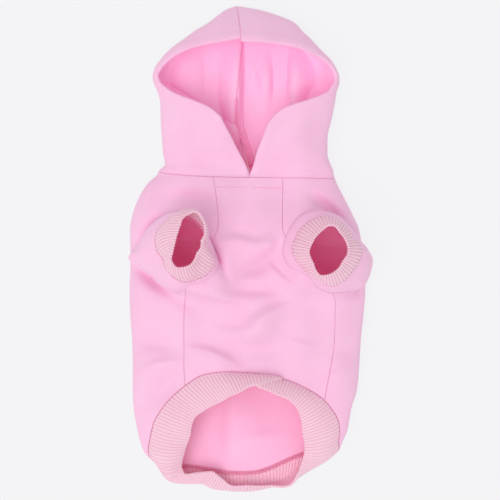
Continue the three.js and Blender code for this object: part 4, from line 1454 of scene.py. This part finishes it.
    def build(self) -> None:
        """Make both halves and the seam allowance."""
        cloths = [self.finishes.outside, self.finishes.lining]
        for side in Side:
            name = f"hood_{side.word}"
            dress(f"{name}_cloth", self.half(side), cloths, [name])
        strip = [self.finishes.inside]
        dress("hood_seam_allowance", self.seam_strip(), strip, ["hood_seam_strip"])


@dataclass(frozen=True)
class RibKnit:
    """Ribbed knit: how many ribs go round, how deep their valleys are, and how its edges end."""

    ribs: int
    points_per_rib: int
    depth: float
    power: float = 0.55
    seam_roll: float = 1.0
    seam_floor: float = 0.45
    rim_floor: float = 0.08
    # Painted shade at the seam and in the valleys between ribs.
    seam_shade_reach: float = 0.6
    valley_shade: float = 0.75
    sharp_degrees: float = 80.0

    @property
    def points(self) -> int:
        """Number of points round the knit."""
        return self.ribs * self.points_per_rib

    def valleys(self) -> Array:
        """Depth of the valleys round the knit, 0 on a rib and 1 between two: 1 - |cos(pi ribs u)|^power."""
        return 1.0 - np.abs(np.cos(math.pi * self.ribs * even_turns(self.points))) ** self.power

    def wall(self, points: Array, normal: Array, thickness: float) -> Shape:
        """Wall of the knit round a stack of rings, whose last ring is its free edge.

        Each sheet stands half the wall from the middle of the knit, less in the valleys between ribs, and
        the free edge is round.

        Args:
            points: outer points, a row to each ring.
            normal: their outward normals.
            thickness: thickness of the knit.

        Returns:
            The wall.
        """
        half = thickness / 2
        valley = self.valleys()
        down = lengths_along(points, 0)
        stand = (half - self.depth * valley) * rounded_edge(down[-1:] - down, half, self.rim_floor)
        stand = stand * rounded_edge(down, self.seam_roll, self.seam_floor)
        # Painted shade: the knit darkens at its seam and in the valleys between ribs.
        seam = np.maximum(bell(down / self.seam_shade_reach), self.valley_shade * valley)
        return Shape.wall(*sheets(points, normal, half, stand), seam, closed=True)


@dataclass
class Sleeve:
    """A sleeve that stands from the belly, and its ribbed cuff."""

    form: Form
    finishes: Finishes
    side: Side
    columns: int = 160
    rows: int = 64
    seam_roll: float = 1.3
    seam_floor: float = 0.2
    # Distance over which painted shade fades from the cuff seam.
    seam_shade_reach: float = 0.7
    knit: RibKnit = RibKnit(ribs=56, points_per_rib=8, depth=0.75)
    cuff_rows: int = 30
    cuff_crowd: float = 0.75
    rim_notch: float = 0.6
    lip: float = 1.4
    stitching: Stitching = Stitching(count=84, length=1.4, radius=0.32, sink=0.2, lean=0.08)

    def ring(self, number: Array, turn: Array, margin: float) -> Array:
        """Points of the sleeve's rings.

        A ring's radius is the sum of its shares of the three loops, and its height follows its level, with
        its outer side lower.

        Args:
            number: ring numbers.
            turn: turns round the ring, from the right.
            margin: how far the rings are grown outwards.

        Returns:
            One point for each number and turn.
        """
        form = self.form
        rings = SLEEVE_RINGS[self.side]
        loops = SLEEVE_LOOPS[self.side]
        ring = {name: rings.read(name, number) for name in rings.columns}
        rises = (form.body_height, form.sleeve_reach, form.cuff_rise)
        height = sum(rise * np.clip(ring["level"] - k, 0.0, 1.0) for k, rise in enumerate(rises))
        share = sum(ring[name] * loops.read(name, turn) for name in loops.columns[1:])
        radius = share * form.sleeve_width + ring["edge"] * self.lip + margin
        cosine, sine = heading(turn)
        x = ring["across"] * form.body_width + radius * cosine
        y = form.neck_y - ring["along"] * form.body_length + radius * sine
        outwards = np.maximum(cosine * self.side.value, 0.0)
        return np.stack([x, y, height - outwards * ring["drop"] * form.sleeve_reach], axis=-1)

    def _rings(self, first: float, last: float, rows: int, columns: int, margin: float = 0.0) -> Array:
        """Rings from one number to another."""
        return self.ring(*grid(np.linspace(first, last, rows), even_turns(columns)), margin)

    def shell(self) -> Shape:
        """Wall of the sleeve from inside the body to its cuff seam."""
        points = self._rings(0.0, CUFF_SEAM_RING, self.rows, self.columns)
        down = lengths_along(points, 0)
        to_cuff = down[-1:] - down
        half = self.form.fleece_wall / 2
        stand = half * rounded_edge(to_cuff, self.seam_roll, self.seam_floor)
        walls = sheets(points, grid_normals(points), half, stand)
        # Painted shade: the cloth darkens towards the cuff seam.
        return Shape.wall(*walls, bell(to_cuff / self.seam_shade_reach), closed=True)

    def plug(self) -> Piece:
        """Closed solid that fills the sleeve, a little larger, to cut its armhole."""
        rings = self._rings(0.0, CUFF_SEAM_RING, self.rows // 2, self.columns, self.form.seam_gap)
        return plug(f"plug_{self.side.word}", rings)

    def cuff(self) -> Shape:
        """Wall of the ribbed cuff, from its seam to its rounded free edge."""
        fine = self._rings(CUFF_SEAM_RING, CUFF_EDGE_RING, self.cuff_rows, 4 * self.columns)
        rings = np.stack([even_ring(ring, self.knit.points)[0] for ring in fine])
        lengths = lengths_along(rings, 0)
        gap = self.form.seam_gap
        reach = lengths[-1] - gap - self.rim_notch * self.knit.valleys()
        targets = gap + reach * crowded(self.cuff_rows, self.cuff_crowd)[:, None]
        points = along_lines(rings, lengths, targets)
        normal = unit(along_lines(grid_normals(rings), lengths, targets))
        return self.knit.wall(points, normal, self.form.rib_wall)

    def stitches(self) -> Shape:
        """Stitches along the cuff seam."""
        rings = self._rings(CUFF_SEAM_RING - PROBE, CUFF_SEAM_RING + PROBE, 3, self.columns)
        points, share = even_ring(rings[1], self.stitching.count)
        return self.stitching.sew_round(points, nearest_round(grid_normals(rings)[1], share))

    def build(self, hollow: Piece) -> None:
        """Make the sleeve, open towards the body, its cuff, and the stitches between them."""
        cloths = [self.finishes.outside, self.finishes.inside]
        sleeve = f"sleeve_{self.side.word}"
        cuff = f"cuff_{self.side.word}"
        sharp = self.knit.sharp_degrees
        dress(f"{sleeve}_cloth", self.shell(), cloths, [sleeve], [hollow])
        dress(f"{cuff}_ribs", self.cuff(), [self.finishes.rib], [cuff], sharp_degrees=sharp)
        dress(f"{cuff}_stitches", self.stitches(), [self.finishes.thread])


@dataclass
class Waistband:
    """The ribbed band round the hem, which stands up over the belly and rolls in at the back."""

    form: Form
    finishes: Finishes
    opening: float = 88.0
    rise: float = 55.0
    bulge: float = 12.0
    across: float = -0.019
    along: float = 0.862
    knit: RibKnit = RibKnit(ribs=138, points_per_rib=6, depth=0.62)
    rows: int = 44
    row_crowd: float = 0.7
    seam_blend: float = 6.0
    pleat_seam: float = 25.0
    pleat_edge: float = 4.5
    pleat_height: float = 2.6
    pleat_reach: float = 14.0
    pleat_drop: float = 0.8
    stitching: Stitching = Stitching(count=170, length=1.4, radius=0.3, sink=0.1, lean=0.04)
    overlock: Stitching = Stitching(count=290, length=3.8, radius=0.6, sink=0.3, lean=0.22)

    def _seam(self, count: int) -> tuple[Array, Array]:
        """Evenly spaced points of the hem seam, a seam gap past it, and the cloth's normals there."""
        form = self.form
        turn = even_turns(4 * count)
        v = np.ones_like(turn)
        ring = form.body_point(turn, v)
        around = form.body_point(turn + PROBE, v) - form.body_point(turn - PROBE, v)
        along = ring - form.body_point(turn, v - PROBE)
        points, share = even_ring(ring, count)
        normal = nearest_round(unit(np.cross(along, around)), share)
        away = unit(np.cross(normal, steps_round(points, 0)))
        away *= np.sign(np.sum(away * nearest_round(along, share), axis=1, keepdims=True))
        return points + away * form.seam_gap, normal

    def _edge(self) -> tuple[Array, Array]:
        """Evenly spaced points of the free edge, and the turn of each."""
        form = self.form
        turn = even_turns(4 * self.knit.points)
        radius = BAND_EDGE.read("radius", turn) * self.opening
        cosine, sine = heading(turn)
        x = self.across * form.body_width - radius * sine
        y = form.neck_y - self.along * form.body_length - radius * cosine
        ring = np.stack([x, y, BAND_EDGE.read("rise", turn) * self.rise], axis=-1)
        return even_ring(ring, self.knit.points)

    def wall(self) -> Shape:
        """Wall of the band: each rib follows a parabola from the seam, over the bulge, to the edge."""
        base, base_normal = self._seam(self.knit.points)
        edge, turn = self._edge()
        middle = (base + edge) / 2
        outwards = unit(np.cross(edge - base, steps_round(base, 0)))
        control = middle + 2 * outwards * BAND_EDGE.read("bulge", turn)[:, None] * self.bulge
        t = crowded(self.rows, self.row_crowd)[:, None, None]
        points = base * (1 - t) ** 2 + control * 2 * t * (1 - t) + edge * t**2
        points[..., 2] = np.maximum(points[..., 2], 0.0)
        blend = np.clip(t * self.seam_blend, 0.0, 1.0)
        normal = unit(base_normal * (1 - blend) - grid_normals(points) * blend)
        points = points + normal * self._pleat(points, t)
        return self.knit.wall(points, normal, self.form.rib_wall)

    def _pleat(self, points: Array, t: Array) -> Array:
        """Lift of the pleat over the belly, where the left part of the band laps over the right one.

        The pleat's line crosses the band from the seam to the free edge, and the lift is exp(-s^2), with s
        in long steps on its left and in short ones on its right.

        Args:
            points: points of the band.
            t: share of the way from the seam to the free edge.

        Returns:
            The lift at each point.
        """
        line = self.pleat_seam + (self.pleat_edge - self.pleat_seam) * t[..., 0]
        away = points[..., 0] - line
        step = np.where(away > 0, self.pleat_drop, self.pleat_reach)
        in_front = points[..., 2] > self.rise / 2
        return (self.pleat_height * bell(away / step) * in_front)[..., None]

    def _sewn(self, stitching: Stitching, depth: float) -> Shape:
        """Stitches along the hem seam, so deep below its outside."""
        points, normals = self._seam(stitching.count)
        return stitching.sew_round(points - normals * depth, normals)

    def build(self) -> None:
        """Make the band, the stitches of its seam, and the loops of thread behind it."""
        ribs = [self.finishes.rib, self.finishes.rib_inside]
        stitches = self._sewn(self.stitching, 0.0)
        loops = self._sewn(self.overlock, self.form.rib_wall)
        sharp = self.knit.sharp_degrees
        dress("waistband_ribs", self.wall(), ribs, ["waistband"], sharp_degrees=sharp)
        dress("waistband_stitches", stitches, [self.finishes.thread])
        dress("waistband_overlock", loops, [self.finishes.pale_thread])


@dataclass
class Studio:
    """The pale floor, the soft light and the camera straight above."""

    camera_height: float = 1.6
    camera_shift: float = -0.0004
    lens: float = 144.0
    sensor: float = 36.0
    floor_size: float = 4000.0
    paper: Tone = (243, 243, 245)
    glow: float = 0.9
    sky: float = 0.76
    sun: float = 1.18
    sun_tilt_degrees: float = 22.0
    sun_turn_degrees: float = -40.0
    sun_spread_degrees: float = 40.0
    bounces: int = 16

    def camera(self) -> None:
        """Place the camera, which looks straight down."""
        data = bpy.data.cameras.new("camera")
        data.lens = self.lens
        data.sensor_width = self.sensor
        made = placed("camera", data)
        made.location = (self.camera_shift, self.camera_shift, self.camera_height)
        bpy.context.scene.camera = made

    def floor(self) -> None:
        """Lay the floor, which glows a little so that shadows stay faint."""
        corners = np.array([(-1, -1, 0), (1, -1, 0), (1, 1, 0), (-1, 1, 0)])
        made = mesh_object("floor", corners * self.floor_size / 2, [(0, 1, 2, 3)])
        shader = Shader("paper")
        paper = colour(self.paper)
        dull = shader.node("ShaderNodeBsdfDiffuse", inputs={"Color": paper})
        glow = shader.node("ShaderNodeEmission", inputs={"Color": paper, "Strength": 1.0})
        both = shader.node("ShaderNodeMixShader", inputs={0: self.glow, 1: dull, 2: glow})
        shader.node("ShaderNodeOutputMaterial", inputs={"Surface": both})
        made.data.materials.append(shader.material)

    def light(self) -> None:
        """Light the scene by an even sky and a soft sun from above, a little from the hem and the left."""
        scene = bpy.context.scene
        scene.world = bpy.data.worlds.new("sky")
        scene.world.use_nodes = True
        back = scene.world.node_tree.nodes["Background"]
        back.inputs["Color"].default_value = (1.0, 1.0, 1.0, 1.0)
        back.inputs["Strength"].default_value = self.sky
        data = bpy.data.lights.new("sun", "SUN")
        data.energy = self.sun
        data.angle = math.radians(self.sun_spread_degrees)
        tilt, turn = math.radians(self.sun_tilt_degrees), math.radians(self.sun_turn_degrees)
        placed("sun", data).rotation_euler = (tilt, 0.0, turn)
        scene.view_settings.view_transform = "Standard"
        scene.cycles.max_bounces = self.bounces
        scene.cycles.diffuse_bounces = self.bounces


def main() -> None:
    """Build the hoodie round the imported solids, and its studio."""
    logging.basicConfig(level=logging.INFO, format="%(message)s")
    for old in list(bpy.data.objects):
        bpy.data.objects.remove(old)
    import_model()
    studio = Studio()
    studio.camera()
    studio.floor()
    studio.light()
    form = Form()
    finishes = Finishes.make()
    body = Body(form, finishes)
    sleeves = [Sleeve(form, finishes, side) for side in Side]
    plugs = [sleeve.plug() for sleeve in sleeves]
    hollow = body.hollow()
    body.build(plugs)
    for sleeve in sleeves:
        sleeve.build(hollow)
    Hood(form, finishes).build()
    Waistband(form, finishes).build()
    for tool in [*plugs, hollow]:
        bpy.data.objects.remove(tool)


if __name__ == "__main__":
    main()
